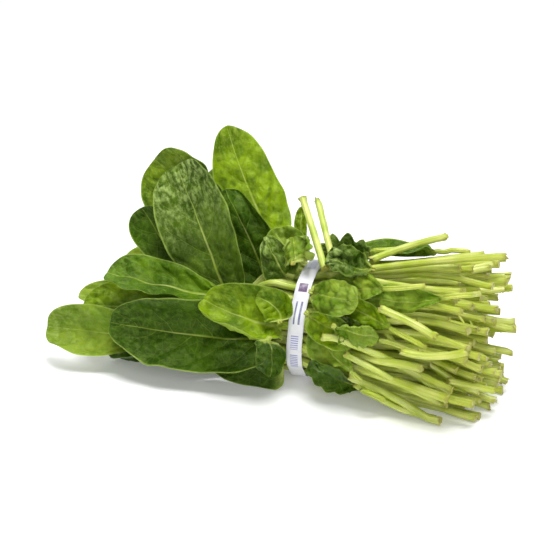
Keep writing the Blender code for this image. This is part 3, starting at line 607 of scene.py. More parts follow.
# ---------------------------------------------------------------- laying the bunch
RING_STEP = 4.0  # mm between two rings of a stalk
SLIMMER = 0.84  # a stalk's thickness as a share of its solid's, which holds its ridges too
HELD_PHASE, LOOSE_PHASE, SCRAP_PHASE = 1.7, 1.3, 0.9  # edge wave from one leaf to the next, in radians
PLANTED, PLANT_DEPTH = ("stalk_upright", "stalk_leaning"), 11.0  # pushed down among the others
BENT = {  # mm that the middle of a loose stalk rises
    "stalk_snapped": 1.5, "stalk_bent": -3.0, "stalk_over": 1.5, "stalk_across": -1.5,
    "stalk_top": 1.5,
}
WANDER, WANDER_SIZE = 2.2, 75.0  # mm that the stalks stray together, and from one bend to the next
OWN_WANDER, OWN_WANDER_SIZE = 0.9, 45.0  # the same for each stalk by itself
STRAY_FROM, STRAY_OVER = 14.0, 70.0  # where they begin to stray, and over how long it grows
LOST_RINGS = 8  # a bare stalk sinks among the leaves over this many rings
STRAY_CLEAR = 1.6  # least height of a stray stalk's middle, as a share of its radius


def tree_of(solids):
    points, faces = [], []
    for p, f in solids:
        start = len(points)
        points += [Vector(x) for x in p]
        faces += [tuple(start + i for i in face) for face in f]
    return BVHTree.FromPolygons(points, faces)


def nearest_slot(tracks, free, base):
    """The free slot under the tie that a leaf with this base would grow out of."""
    wanted = np.array([base[1], base[2] - WAIST_Z]) / (1 + 0.004 * max(-14 - base[0], 0))
    wanted *= min(1.0, WAIST_RADIUS / np.linalg.norm(wanted))
    distance = np.linalg.norm(tracks[:, TIE_STATION, 1:] - wanted - [0, WAIST_Z], axis=1)
    distance[~free] = np.inf
    return int(np.argmin(distance))


def choose_slots(tracks):
    """{leaf name: slot}, the leaves nearest to the outside choosing first."""
    free = np.ones(STALK_SLOTS, bool)
    slot = {}
    for leaf in BEFORE[::-1] + BEHIND[::-1] + MIDDLE[::-1] + CORE:
        slot[leaf.name] = nearest_slot(tracks, free, leaf.base)
        free[slot[leaf.name]] = False
    return slot


Grown = namedtuple("Grown", "leaf grid radius stalk")
Bunch = namedtuple("Bunch", "solids leaves sticks inner scraps")


def held_leaf(leaf, track, radius, end, phase, laid):
    """A leaf whose stalk the tie holds: its solid, and what its fine skin is made from."""
    leave = max(TIE_FREE_X, leaf.base[0] + 12.0)
    start, after = along(track, [leave, leave + 3.0])
    grid = leaf_grid(leaf, radius, phase, start, unit(start - after))
    grid = settle(grid, radius, leaf.out, tree_of(laid), True)
    before = along(track, [x for x in stations_to(end) if x > leave + 2])
    stalk = along(track, np.arange(end, leave + 2, -RING_STEP))
    return leaf_solid(leaf, grid, before, radius), Grown(leaf, grid, radius, stalk)


def loose_leaf(leaf, phase, laid, reach=LOOSE_STALK):
    """A small leaf with a short stalk of its own, lying on what is laid."""
    tail = unit(np.subtract(leaf.base, leaf.mid))
    grid = leaf_grid(leaf, LOOSE_RADIUS, phase, leaf.base + tail * reach, -tail)
    grid = settle(grid, LOOSE_RADIUS, leaf.out, tree_of(laid), False)
    none = np.zeros((0, 3))
    return leaf_solid(leaf, grid, none, LOOSE_RADIUS), Grown(leaf, grid, LOOSE_RADIUS, none)


def rooted(track, end, number):
    """A bare stalk's line, from its cut end to where it is lost among the leaves."""
    line = along(track, np.arange(end, STATIONS[0], -RING_STEP))
    loose = smooth((line[:, :1] - STRAY_FROM) / STRAY_OVER)
    for axis in (1, 2):
        line[:, axis] += WANDER * loose[:, 0] * uneven(line, axis, WANDER_SIZE)
        line[:, axis] += OWN_WANDER * loose[:, 0] * uneven(line, 100 * axis + number, OWN_WANDER_SIZE)
    line[:, 2] = np.maximum(line[:, 2], STALK_RADIUS[1])
    heading = unit(line[-1] - line[-2])
    beyond = np.arange(1, LOST_RINGS)[:, None]
    going = line[-1] + heading * RING_STEP * beyond
    sunk = going * [1, 0, 0] + [0, 0, WAIST_Z]
    return np.concatenate([line, going + (sunk - going) * (beyond / LOST_RINGS) ** 1.5])


def loose_line(stick, solid):
    """(points, radius) of a loose stalk, bent a little, from the two ends of its solid."""
    head, foot = solid[0][-2:]
    if stick.name in PLANTED:
        foot = foot + unit(foot - head) * PLANT_DEPTH
    share = np.arange(0, 1.01, 0.05)[:, None]
    bend = 4 * share * (1 - share) * np.array([0, 0, BENT.get(stick.name, 0.0)])
    return head + (foot - head) * share + bend, stick.radius * SLIMMER


def stray_line(points, radius):
    """(points, radius) of a stray stalk, on a smooth curve through its points."""
    at = np.linspace(0, len(points) - 1, 8 * len(points))
    line = read_between(np.array(points, float), at)
    line[:, 2] = np.maximum(line[:, 2], STRAY_CLEAR * radius)
    return line, radius


def lay_held(slot, lay, laid):
    """Lays the leaves that the tie holds, and then the tie.  Gives their solids and the leaves."""
    tracks, radii, ends = lay
    solids, leaves = {}, {}
    for k, leaf in enumerate(CORE + MIDDLE + BEHIND + BEFORE):
        n = slot[leaf.name]
        made = held_leaf(leaf, tracks[n], radii[n], ends[n], HELD_PHASE * k, laid)
        solids[leaf.name], leaves[leaf.name] = made
        laid.append(solids[leaf.name])
    held = [cut(laid, x) for x in np.linspace(-0.5, 0.5, 5) * TIE_WIDTH]
    solids["tie"] = tie_solid(sum(held, []))
    laid.append(solids["tie"])
    return solids, leaves


def lay_loose(solids, leaves, laid):
    """Lays the loose stalks and small leaves on the bunch, from the lowest to the highest."""
    for stick in UNDER_LOOSE:
        solids[stick.name] = drop(stick, tree_of(laid))
        laid.append(solids[stick.name])
    for k, leaf in enumerate(LOOSE):
        solids[leaf.name], leaves[leaf.name] = loose_leaf(leaf, LOOSE_PHASE * k, laid)
        laid.append(solids[leaf.name])
    for stick in OVER_LOOSE:
        solids[stick.name] = drop(stick, tree_of(laid))
        laid.append(solids[stick.name])


def lay_scraps(laid):
    """Lays the torn leaves on everything else."""
    scraps = {}
    for k, leaf in enumerate(SCRAPS):
        solid, scraps[leaf.name] = loose_leaf(leaf, SCRAP_PHASE * k, laid, SCRAP_STALK)
        laid.append(solid)
    return scraps


def lay_bunch():
    """Lays every piece, each clear of the ones before it."""
    tracks, radii, ends = lay_stalks()
    slot = choose_slots(tracks)
    stalks = [stalk_solid(along(tracks[n], stations_to(ends[n])), radii[n]) for n in range(STALK_SLOTS)]
    bare = [n for n in range(STALK_SLOTS) if n not in slot.values()]
    laid = [stalks[n] for n in bare] + [stalks[n] for n in sorted(slot.values())]
    solids, leaves = lay_held(slot, (tracks, radii, ends), laid)
    lay_loose(solids, leaves, laid)
    sticks = {stick.name: loose_line(stick, solids[stick.name]) for stick in UNDER_LOOSE + OVER_LOOSE}
    waist = np.linalg.norm(tracks[:, TIE_STATION, 1:] - [0, WAIST_Z], axis=1)
    bare.sort(key=lambda n: -waist[n])
    lines = [(rooted(tracks[n], ends[n], n), radii[n] * SLIMMER) for n in bare]
    outer = PIECES - len(solids)
    for k in range(outer):
        name = f"stalk_{k + 1:02d}"
        solids[name], sticks[name] = stalks[bare[k]], lines[k]
    inner = lines[outer:] + [stray_line(*stray) for stray in STRAYS]
    return Bunch(solids, leaves, sticks, inner, lay_scraps(laid))


# ---------------------------------------------------------------- fine skins of the leaves
SKIN_STEP = 1.15  # mm between two points of a blade, roughly
BLADE_THICK = 0.7
RIBS, RIB_DEPTH = 6, 0.05  # ridges round a stalk, and their height as a share of its radius
CHANNEL, CHANNEL_REACH = 0.45, 30.0  # depth of a leaf stalk's channel in radii, and mm that it runs
VEINS = 4.6  # pairs of side veins from base to tip
VEIN_SWEEP, VEIN_BEND = 0.2, 0.14  # how far a side vein has climbed towards the tip at the edge
VEIN_STRAY, VEIN_STRAY_SIZE = 0.1, 36.0  # unevenness of their course, in veins, and its size in mm
BOWL = 2.6  # mm that the margins rise above the midrib
PUCKER = 1.3  # mm that the blade bulges between two side veins
CUSHION, CUSHION_SIZE = 1.7, 8.5  # height and size of the blisters in the net of fine veins, in mm
ROLL, ROLL_SIZE = 1.0, 19.0  # height and size of the broad swells of a blade, in mm
CREASE, CREASE_SIZE = 0.3, 5.5  # the same for the fine ones
FULL_WIDTH = 40.0  # a leaf narrower than this is flatter in proportion
EDGE_WAVE, RUFFLE = 20.0, 1.3  # mm from one ruffle of the margin to the next, and their height
TEETH = 4.5  # lobes along a lobed margin
LEAF_OFFSET = 41.0  # mm between the patterns of two leaves
SKIN_CLEAR = 0.02  # mm that a leaf's skin stays above the table
NOT_CUT = 99.0  # mm to a cut end, for what is nowhere near one

# How rough a leaf's surface is (1 is an ordinary blade), and how deep its margin is lobed.
CRUMPLED = {
    "leaf_curl": 2.6, "leaf_loose_top": 2.6, "leaf_loose_crisp": 1.5, "leaf_nook": 1.5,
    "leaf_cup": 1.3, "scrap_veil": 1.8, "scrap_wedge": 1.3, "scrap_crest": 2.6,
    "scrap_torn": 2.6, "scrap_ridge": 2.4,
}
LOBED = {
    "leaf_loose_top": 0.4, "leaf_loose_crisp": 0.08, "leaf_loose_low": 0.2, "scrap_veil": 0.1,
    "scrap_crest": 0.15, "scrap_torn": 0.4, "scrap_ridge": 0.3,
}


def fine_columns(surface, climb, columns, lobes):
    """(points, shares): each row of the surface read at its own places across.

    A stalk's ring needs its points bunched at the sides and a blade's evenly spread.
    """
    even = np.linspace(-1, 1, columns)
    bunched = -np.cos(np.linspace(0, math.pi, columns))
    blade = smooth(climb / 0.25)[:, None]
    share = (1 - blade) * bunched + blade * even
    tooth = np.abs((climb * TEETH + 0.3) % 1 - 0.5) * 2
    reach = 1 - lobes * smooth(climb / 0.2) * tooth**1.5
    places = (1 + share * reach[:, None]) * CENTRE
    points = np.stack([read_between(row, at) for row, at in zip(surface, places)])
    return points, share


def normals_of(points):
    normal = np.cross(np.gradient(points, axis=1), np.gradient(points, axis=0))
    return normal / (np.linalg.norm(normal, axis=2, keepdims=True) + 1e-9)


def vein_phase(points, net, seed):
    """Counts up by one from each side vein to the next; the two halves are half a vein apart."""
    share = net["share"]
    swept = VEIN_SWEEP * np.abs(share) + VEIN_BEND * share**2
    stray = VEIN_STRAY * uneven(points, seed + 20, VEIN_STRAY_SIZE)
    return (net["climb"] - swept) * VEINS + 0.5 * (share < 0) + stray + 8 + 0.37 * seed


def cushions(across, down, size, seed):
    """Height of small cushions packed side by side: 0 on their seams and 1 on top."""
    rng = np.random.default_rng(seed)
    spots = np.stack([across.ravel(), down.ravel()], axis=1)
    low, high = spots.min(axis=0) - size, spots.max(axis=0) + size
    x, y = np.meshgrid(np.arange(low[0], high[0], size), np.arange(low[1], high[1], size))
    tops = np.stack([x.ravel(), y.ravel()], axis=1)
    tops += rng.uniform(-0.42, 0.42, tops.shape) * size
    apart = np.linalg.norm(spots[:, None] - tops[None], axis=2)
    apart.partition(1, axis=1)
    return (1 - (apart[:, 0] / apart[:, 1]) ** 2).reshape(across.shape)


def relief(points, net, vein, leaf, seed):
    """How far the fine surface stands out of the smooth one, in mm."""
    share, climb, across, down = (net[key] for key in ("share", "climb", "across", "down"))
    rough = CRUMPLED.get(leaf.name, 1.0)
    small = min(1.0, leaf.width / FULL_WIDTH)
    inside = smooth(np.abs(share) / 0.2) * smooth((1 - np.abs(share)) / 0.25)
    grown = smooth(climb / 0.15) * smooth((1 - climb) / 0.12)
    between_veins = np.abs(np.sin(math.pi * vein))
    out = PUCKER * (between_veins**0.7 - 0.6) * inside * grown
    out += BOWL * (share**2 - 0.35) * grown * small
    patchy = 0.6 + 0.5 * uneven(points, seed + 30, 45.0)
    tops = cushions(across, down, CUSHION_SIZE, seed)
    out += CUSHION * rough * patchy * (tops - 0.6) * inside * grown
    out += ROLL * rough * uneven(points, seed, ROLL_SIZE) * grown
    out += CREASE * rough * uneven(points, seed + 50, CREASE_SIZE) * inside * grown
    margin = np.stack([down, 9.0 * (share < 0), 0 * down], axis=-1)
    ruffle = uneven(margin, seed + 70, EDGE_WAVE)
    return out + RUFFLE * rough * ruffle * share**4 * grown * small


def blade_net(leaf, coarse):
    """The blade's middle surface as a fine net, and where each of its points lies on the leaf.

    climb runs from base to tip and share from edge to edge; down and across are in mm.
    """
    spine = np.linalg.norm(np.diff(coarse[:, CENTRE], axis=0), axis=1).sum()
    rows = int(spine / SKIN_STEP) + 14
    columns = 2 * int(leaf.width / SKIN_STEP / 2) + 5
    at = np.linspace(0, BLADE_ROWS - 1, rows)
    climb = (1 - np.cos(at / (BLADE_ROWS - 1) * math.pi)) / 2
    surface = read_between(coarse, at)
    points, share = fine_columns(surface, climb, columns, LOBED.get(leaf.name, 0.0))
    middle = columns // 2
    steps = np.linalg.norm(np.diff(points, axis=1), axis=2)
    across = np.concatenate([np.zeros((rows, 1)), np.cumsum(steps, axis=1)], axis=1)
    across -= across[:, middle : middle + 1]
    down = np.append(0, np.cumsum(np.linalg.norm(np.diff(points[:, middle], axis=0), axis=1)))
    return points, {
        "share": share,
        "across": across,
        "down": np.repeat(down[:, None], columns, axis=1),
        "climb": np.repeat(climb[:, None], columns, axis=1),
    }


def blade_walls(points, net, rib):
    """The blade's upper and lower side: a thin sheet, with a grooved midrib that stands out below."""
    normal = normals_of(points)
    share, climb, across = net["share"], net["climb"], net["across"]
    half = np.maximum(np.minimum(rib * 1.15, np.abs(across).max(axis=1, keepdims=True)), 0.2)
    ridge = rib * np.sqrt(np.clip(1 - (across / half) ** 2, 0, 1))
    sheet = BLADE_THICK / 2 * (1 - share**8)
    tube = 1 - smooth(climb / 0.1)
    groove = 0.45 * rib * np.exp(-((across / (0.45 * rib + 0.3)) ** 2)) * (1 - 0.4 * climb)
    sunk = np.minimum(groove, ridge + sheet) * smooth(climb / 0.04 + 0.2)
    above = np.maximum(sheet, ridge * tube) - sunk
    below = np.maximum(sheet, ridge)
    top = points + normal * above[..., None]
    under = points - normal * below[..., None]
    top[:, 0], top[:, -1] = points[:, 0], points[:, -1]
    return top, under


def blade_skin(grown, seed):
    """Rings round the blade, and the facts of each ring's points that the finish reads."""
    points, net = blade_net(grown.leaf, grown.grid[STALK_ROWS:])
    vein = vein_phase(points, net, seed)
    stand = relief(points, net, vein, grown.leaf, seed)
    points = points + normals_of(points) * stand[..., None]
    rib = grown.radius * (1 - net["climb"]) ** 1.4 * 0.6 + 0.2
    top, under = blade_walls(points, net, rib)
    facts = {
        "down": net["down"],
        "across": net["across"],
        "vein": vein,
        "share": np.abs(net["share"]),
        "rib": rib,
        "climb": net["climb"],
        "cut": np.full_like(rib, NOT_CUT),
    }
    return top, under, facts


def stalk_skin(line, radius, side, columns):
    """The same for the round stalk below the blade: rings from its cut end."""
    share = -np.cos(np.linspace(0, math.pi, columns))
    height = np.sqrt(1 - share**2)
    turn = np.arctan2(height, share)
    sides = [unit(side)]
    for k in range(len(line) - 1, -1, -1):
        heading = heading_at(line, k)
        sides.append(unit(sides[-1] - heading * (sides[-1] @ heading)))
    sides = sides[:0:-1]
    left = np.append(np.cumsum(np.linalg.norm(np.diff(line, axis=0), axis=1)[::-1])[::-1], 0)
    top, under = [], []
    for k, centre in enumerate(line):
        up = np.cross(sides[k], heading_at(line, k))
        ribbed = radius * (1 + RIB_DEPTH * np.cos(RIBS * turn))
        channel = 1 - CHANNEL * np.exp(-((share / 0.4) ** 2)) * smooth(1 - left[k] / CHANNEL_REACH)
        wide = centre + sides[k] * (share * ribbed)[:, None]
        top.append(wide + up * (height * ribbed * channel)[:, None])
        under.append(wide - up * (height * ribbed)[:, None])
    down = np.repeat(-left[:, None], columns, axis=1)
    flat = np.ones_like(down)
    facts = {
        "down": down,
        "across": share * radius * flat,
        "vein": 8.5 * flat,
        "share": np.abs(share) * flat,
        "rib": radius * flat,
        "climb": 0 * flat,
        "cut": left[0] + down,
    }
    return np.array(top), np.array(under), facts


def looped(top, under):
    """Rows that go over the top from edge to edge and come back below."""
    return np.concatenate([top, under[:, -2:0:-1]], axis=1)


def fine_leaf(grown, seed):
    """(points, faces, facts) of the leaf's closed skin, from its cut end to its tip."""
    top, under, facts = blade_skin(grown, seed)
    columns = top.shape[1]
    joint = grown.grid[: STALK_ROWS + 1, CENTRE]
    near = read_between(joint, np.arange(0, STALK_ROWS - 0.1, 0.5))
    line = np.concatenate([grown.stalk, near])
    side = grown.grid[STALK_ROWS, -1] - grown.grid[STALK_ROWS, 0]
    stem_top, stem_under, stem_facts = stalk_skin(line, grown.radius, side, columns)
    top = np.concatenate([stem_top, top[:-1]])
    rings = looped(top, np.concatenate([stem_under, under[:-1]]))
    rings[..., 2] = np.maximum(rings[..., 2], SKIN_CLEAR)
    points = np.concatenate([rings.reshape(-1, 3), [line[0], grown.grid[-1, CENTRE]]])
    read = {}
    for key in facts:
        whole = np.concatenate([stem_facts[key], facts[key][:-1]])
        around = looped(whole, whole).reshape(-1)
        read[key] = np.append(around, [around[0], facts[key][-1, columns // 2]])
    below = looped(np.zeros(top.shape[:2]), np.ones(top.shape[:2]))
    read["below"] = np.append(below.reshape(-1), [0, 0])
    depth = np.linalg.norm(rings - looped(top, top), axis=2).reshape(-1)
    grain = [read["across"] + LEAF_OFFSET * seed, np.append(depth, [0, 0]), read["down"]]
    read["grain"] = np.stack(grain, axis=1)
    return points, loop_faces(*rings.shape[:2]), read


def loop_faces(rings, count):
    """Quads between rings of points, closed by a fan to one more point at either end."""
    faces = []
    for k in range(rings - 1):
        a, b = k * count, (k + 1) * count
        faces += [(a + i, a + (i + 1) % count, b + (i + 1) % count, b + i) for i in range(count)]
    start, end, top = rings * count, rings * count + 1, (rings - 1) * count
    for i in range(count):
        faces.append((start, (i + 1) % count, i))
        faces.append((end, top + i, top + (i + 1) % count))
    return faces


# ---------------------------------------------------------------- pieces
def facing_out(points, faces):
    """The faces, turned over if they enclose a negative volume."""
    fans = [(face[0], face[k], face[k + 1]) for face in faces for k in range(1, len(face) - 1)]
    a, b, c = points[np.array(fans)].transpose(1, 0, 2)
    volume = (a * np.cross(b, c)).sum()
    return faces if volume > 0 else [face[::-1] for face in faces]


def piece_of(name, points, faces, facts, finish, shift):
    """A mesh object in the solids' frame, in metres, with the facts as attributes of its points."""
    mesh = bpy.data.meshes.new(name)
    faces = facing_out(points, faces)
    mesh.from_pydata([tuple(p) for p in (points - shift) * MM], [], faces)
    for key, values in facts.items():
        kind, field = ("FLOAT", "value") if values.ndim == 1 else ("FLOAT_VECTOR", "vector")
        attribute = mesh.attributes.new(key, kind, "POINT")
        attribute.data.foreach_set(field, values.astype(np.float32).ravel())
    mesh.materials.append(finish)
    mesh.shade_smooth()
    mesh.set_sharp_from_angle(angle=math.radians(60))
    made = bpy.data.objects.new(name, mesh)
    bpy.context.scene.collection.objects.link(made)
    return made


def settle_in(piece, slot, *nodes):
    """The piece rides on the bunch, and stands for these solids."""
    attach(piece, "root")
    if nodes:
        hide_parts(*nodes)


# ---------------------------------------------------------------- finishes
PER_METRE = 1000.0  # mm in a metre: a scale of PER_METRE / 8 repeats a pattern about every 8 mm
STREAK = (1 / 0.9, 1 / 0.9, 1 / 45)  # fibres of a stalk: 0.9 mm apart and 45 mm long
STALK_PATCH = 14.0  # mm from a paler stretch of stalk to a darker one
TONE_PATCH, MOTTLE, PAPER_CLOUD = 26.0, 8.0, 4.0  # mm: a blade's tones, its mottling, and paper's
CRINKLE = (1 / 3, 1.0, 1 / 5)  # creases of the blade, whose crests carry the painted sheen: 3 mm across and 5 mm long
NET_CELLS = ((5.5, 0.06), (1.8, 0.12))  # mm across the two sizes of mesh, and the veins' share
JUICY = 1.45  # refraction of wet plant tissue
# Of each kind of leaf: its dark and light green, its paler underside, which is also the colour of
# its painted sheen, its roughness, and how much painted sheen it has.
TINTS = {
    BRIGHT: ("#3E5E00", "#7C9802", "#869C30", 0.33, 0.4),
    PLAIN: ("#2A4C00", "#527400", "#6A8A28", 0.35, 0.35),
    # Partly painted shade: this dark kind also stands for leaves that lie in shade.
    DARK_AND_SHADED: ("#1E3C00", "#365600", "#52761A", 0.35, 0.3),
    GREY: ("#243F00", "#48640C", "#96AC60", 0.36, 0.54),
    PALE: ("#55760C", "#869C2C", "#8CA24C", 0.38, 0.5),
}
BLADE_FACTS = ("down", "across", "vein", "share", "rib", "climb", "below", "grain", "cut")


def linear(colour):
    """An sRGB hex colour as linear RGBA."""
    parts = [int(colour[k : k + 2], 16) / 255 for k in (1, 3, 5)]
    return (*[c / 12.92 if c <= 0.04045 else ((c + 0.055) / 1.055) ** 2.4 for c in parts], 1.0)


def node(tree, kind, inputs=None, **settings):
    """Adds a node.  An input takes a value, a node's socket, a node, or a node and an output's name."""
    made = tree.nodes.new(kind)
    for key, value in settings.items():
        setattr(made, key, value)
    for key, value in (inputs or {}).items():
        if isinstance(key, int):
            socket = made.inputs[key]
        else:
            socket = next(s for s in made.inputs if s.enabled and s.name == key)
        if isinstance(value, bpy.types.Node):
            value = next(s for s in value.outputs if s.enabled)
        elif isinstance(value, tuple) and isinstance(value[0], bpy.types.Node):
            value = value[0].outputs[value[1]]
        if isinstance(value, bpy.types.NodeSocket):
            tree.links.new(value, socket)
        else:
            socket.default_value = value
    return made


def new_finish(name):
    made = bpy.data.materials.new(name)
    made.use_nodes = True
    return made, made.node_tree, made.node_tree.nodes["Principled BSDF"]


def painted(tree, colour, layers):
    """The colour with each (share, paint) of the layers mixed over it in turn."""
    for share, paint in layers:
        colour = node(
            tree, "ShaderNodeMix", {"Factor": share, "A": colour, "B": paint}, data_type="RGBA",
        )
    return colour


def soak(shader, weight):
    """Light that enters green tissue comes out again a millimetre away, yellower."""
    shader.inputs["Subsurface Weight"].default_value = weight
    shader.inputs["Subsurface Radius"].default_value = (0.8, 1.0, 0.25)
    shader.inputs["Subsurface Scale"].default_value = 0.0012
    shader.inputs["IOR"].default_value = JUICY


def stalk_colour(tree, grain, place, cut):
    """Pale green with darker fibres, more yellow-olive along the bunch towards its cut side, and more
    olive in the last millimetres before each cut end.
    """
    stretched = node(
        tree, "ShaderNodeVectorMath", {0: (grain, "Vector"), 1: STREAK}, operation="MULTIPLY",
    )
    fibre = node(tree, "ShaderNodeTexNoise", {"Vector": stretched, "Scale": 1.0, "Detail": 2.0})
    each = node(
        tree, "ShaderNodeTexNoise",
        {"Vector": (place, "Object"), "Scale": PER_METRE / STALK_PATCH, "Detail": 1.0},
    )
    tone = node(
        tree, "ShaderNodeMapRange", {"Value": (each, "Fac"), "From Min": 0.32, "From Max": 0.68},
    )
    apart = node(tree, "ShaderNodeSeparateXYZ", {"Vector": (place, "Object")})
    outward = node(
        tree, "ShaderNodeMapRange",
        {"Value": (apart, "X"), "From Min": 0.0, "From Max": 0.13, "To Min": 0.0, "To Max": 0.45},
    )
    dark = node(
        tree, "ShaderNodeMapRange",
        {"Value": (fibre, "Fac"), "From Min": 0.42, "From Max": 0.6, "To Min": 0.38, "To Max": 0.0},
    )
    near_cut_olive = node(
        tree, "ShaderNodeMapRange",
        {"Value": (cut, "Fac"), "From Min": 0.3, "From Max": 2.2, "To Min": 0.75, "To Max": 0.0},
    )
    layers = (
        (tone, linear("#D8E088")),
        (outward, linear("#B8B840")),
        (dark, linear("#7E9420")),
        (near_cut_olive, linear("#A09C48")),
    )
    return painted(tree, linear("#A9BF42"), layers), fibre


def stalk_finish():
    """Fresh spinach stalk: a smooth, juicy skin over straight fibres, which lets some light in."""
    made, tree, shader = new_finish("fresh_stalk")
    grain = node(tree, "ShaderNodeAttribute", attribute_name="grain")
    cut_off = node(tree, "ShaderNodeAttribute", attribute_name="cut")
    place = node(tree, "ShaderNodeTexCoord")
    colour, fibre = stalk_colour(tree, grain, place, cut_off)
    bump = node(
        tree, "ShaderNodeBump",
        {"Height": (fibre, "Fac"), "Strength": 0.5, "Distance": 0.0004},
    )
    tree.links.new(colour.outputs[2], shader.inputs["Base Color"])
    tree.links.new(bump.outputs[0], shader.inputs["Normal"])
    shader.inputs["Roughness"].default_value = 0.3
    soak(shader, 0.45)
    return made


def side_veins(tree, facts):
    """How far a point is from the nearest side vein, in veins, and 1 on the line of the vein."""
    gap = node(tree, "ShaderNodeMath", {0: (facts["vein"], "Fac"), 1: 0.5}, operation="PINGPONG")
    width = node(
        tree, "ShaderNodeMapRange",
        {"Value": (facts["share"], "Fac"), "From Min": 0.1, "From Max": 0.95,
         "To Min": 0.024, "To Max": 0.009},
    )
    line = node(tree, "ShaderNodeMath", {0: gap, 1: width}, operation="DIVIDE")
    line = node(
        tree, "ShaderNodeMapRange",
        {"Value": line, "From Min": 0.25, "From Max": 1.0, "To Min": 1.0, "To Max": 0.0},
        interpolation_type="SMOOTHSTEP",
    )
    return gap, line


def vein_net(tree, grain):
    """1 on the fine veins, which part the blade into large cells and those into small ones."""
    nets = []
    for size, width in NET_CELLS:
        spot = node(
            tree, "ShaderNodeVectorMath", {0: (grain, "Vector"), 1: (1 / size, 0.0, 1 / size)},
            operation="MULTIPLY",
        )
        cell = node(
            tree, "ShaderNodeTexVoronoi", {"Vector": spot, "Scale": 1.0}, feature="DISTANCE_TO_EDGE",
        )
        nets.append(node(
            tree, "ShaderNodeMapRange",
            {"Value": cell, "From Min": 0.0, "From Max": width, "To Min": 1.0, "To Max": 0.0},
        ))
    large, small = nets
    return node(
        tree, "ShaderNodeMath", {0: small, 1: 0.45, 2: large}, operation="MULTIPLY_ADD", use_clamp=True,
    )


def mottling(tree, place, gap):
    """A noise all over the blade, and the darker patches it makes between the side veins."""
    mottle = node(
        tree, "ShaderNodeTexNoise",
        {"Vector": (place, "Object"), "Scale": PER_METRE / MOTTLE, "Detail": 3.0},
    )
    patch = node(
        tree, "ShaderNodeMapRange",
        {"Value": (mottle, "Fac"), "From Min": 0.46, "From Max": 0.66, "To Min": 0.0, "To Max": 0.75},
        interpolation_type="SMOOTHSTEP",
    )
    inland = node(
        tree, "ShaderNodeMapRange", {"Value": gap, "From Min": 0.03, "From Max": 0.22},
        interpolation_type="SMOOTHSTEP",
    )
    return mottle, node(tree, "ShaderNodeMath", {0: patch, 1: inland}, operation="MULTIPLY")


def crinkle_and_painted_sheen(tree, facts, sheen_share):
    """A creased noise, and a painted pale sheen along its crests, stronger towards the tip, where the
    blade turns up to the light.
    """
    crinkle = node(
        tree, "ShaderNodeVectorMath", {0: (facts["grain"], "Vector"), 1: CRINKLE},
        operation="MULTIPLY",
    )
    crinkle = node(
        tree, "ShaderNodeTexNoise",
        {"Vector": crinkle, "Scale": 1.0, "Detail": 4.0, "Roughness": 0.65},
    )
    painted_sheen = node(
        tree, "ShaderNodeMapRange",
        {"Value": (crinkle, "Fac"), "From Min": 0.44, "From Max": 0.66,
         "To Min": 0.0, "To Max": sheen_share},
    )
    towards_tip = node(
        tree, "ShaderNodeMapRange",
        {"Value": (facts["climb"], "Fac"), "From Min": 0.4, "From Max": 1.0,
         "To Min": 0.2, "To Max": 2.3},
    )
    painted_sheen = node(
        tree, "ShaderNodeMath", {0: painted_sheen, 1: towards_tip}, operation="MULTIPLY", use_clamp=True,
    )
    return crinkle, painted_sheen


def stem_and_midrib(tree, facts):
    """1 where the leaf is stalk, and up to a half along its midrib."""
    off = node(tree, "ShaderNodeMath", {0: (facts["across"], "Fac")}, operation="ABSOLUTE")
    off = node(tree, "ShaderNodeMath", {0: off, 1: (facts["rib"], "Fac")}, operation="DIVIDE")
    midrib = node(
        tree, "ShaderNodeMapRange",
        {"Value": off, "From Min": 0.35, "From Max": 0.9, "To Min": 0.5, "To Max": 0.0},
        interpolation_type="SMOOTHSTEP",
    )
    stem = node(
        tree, "ShaderNodeMapRange",
        {"Value": (facts["down"], "Fac"), "From Min": -5.0, "From Max": 9.0,
         "To Min": 1.0, "To Max": 0.0},
        interpolation_type="SMOOTHSTEP",
    )
    return node(tree, "ShaderNodeMath", {0: midrib, 1: stem}, operation="MAXIMUM")


def blade_bump(tree, facts, line, net, crinkle):
    """Veins sunk in the upper side and raised on the underside, over the creases that carry the painted
    sheen.
    """
    sunk = node(tree, "ShaderNodeMath", {0: net, 1: 0.4, 2: line}, operation="MULTIPLY_ADD")
    side = node(
        tree, "ShaderNodeMath", {0: (facts["below"], "Fac"), 1: 2.0, 2: -1.0}, operation="MULTIPLY_ADD",
    )
    height = node(tree, "ShaderNodeMath", {0: sunk, 1: side}, operation="MULTIPLY")
    height = node(
        tree, "ShaderNodeMath", {0: (crinkle, "Fac"), 1: 4.0, 2: height}, operation="MULTIPLY_ADD",
    )
    return node(tree, "ShaderNodeBump", {"Height": height, "Strength": 0.9, "Distance": 0.0003})


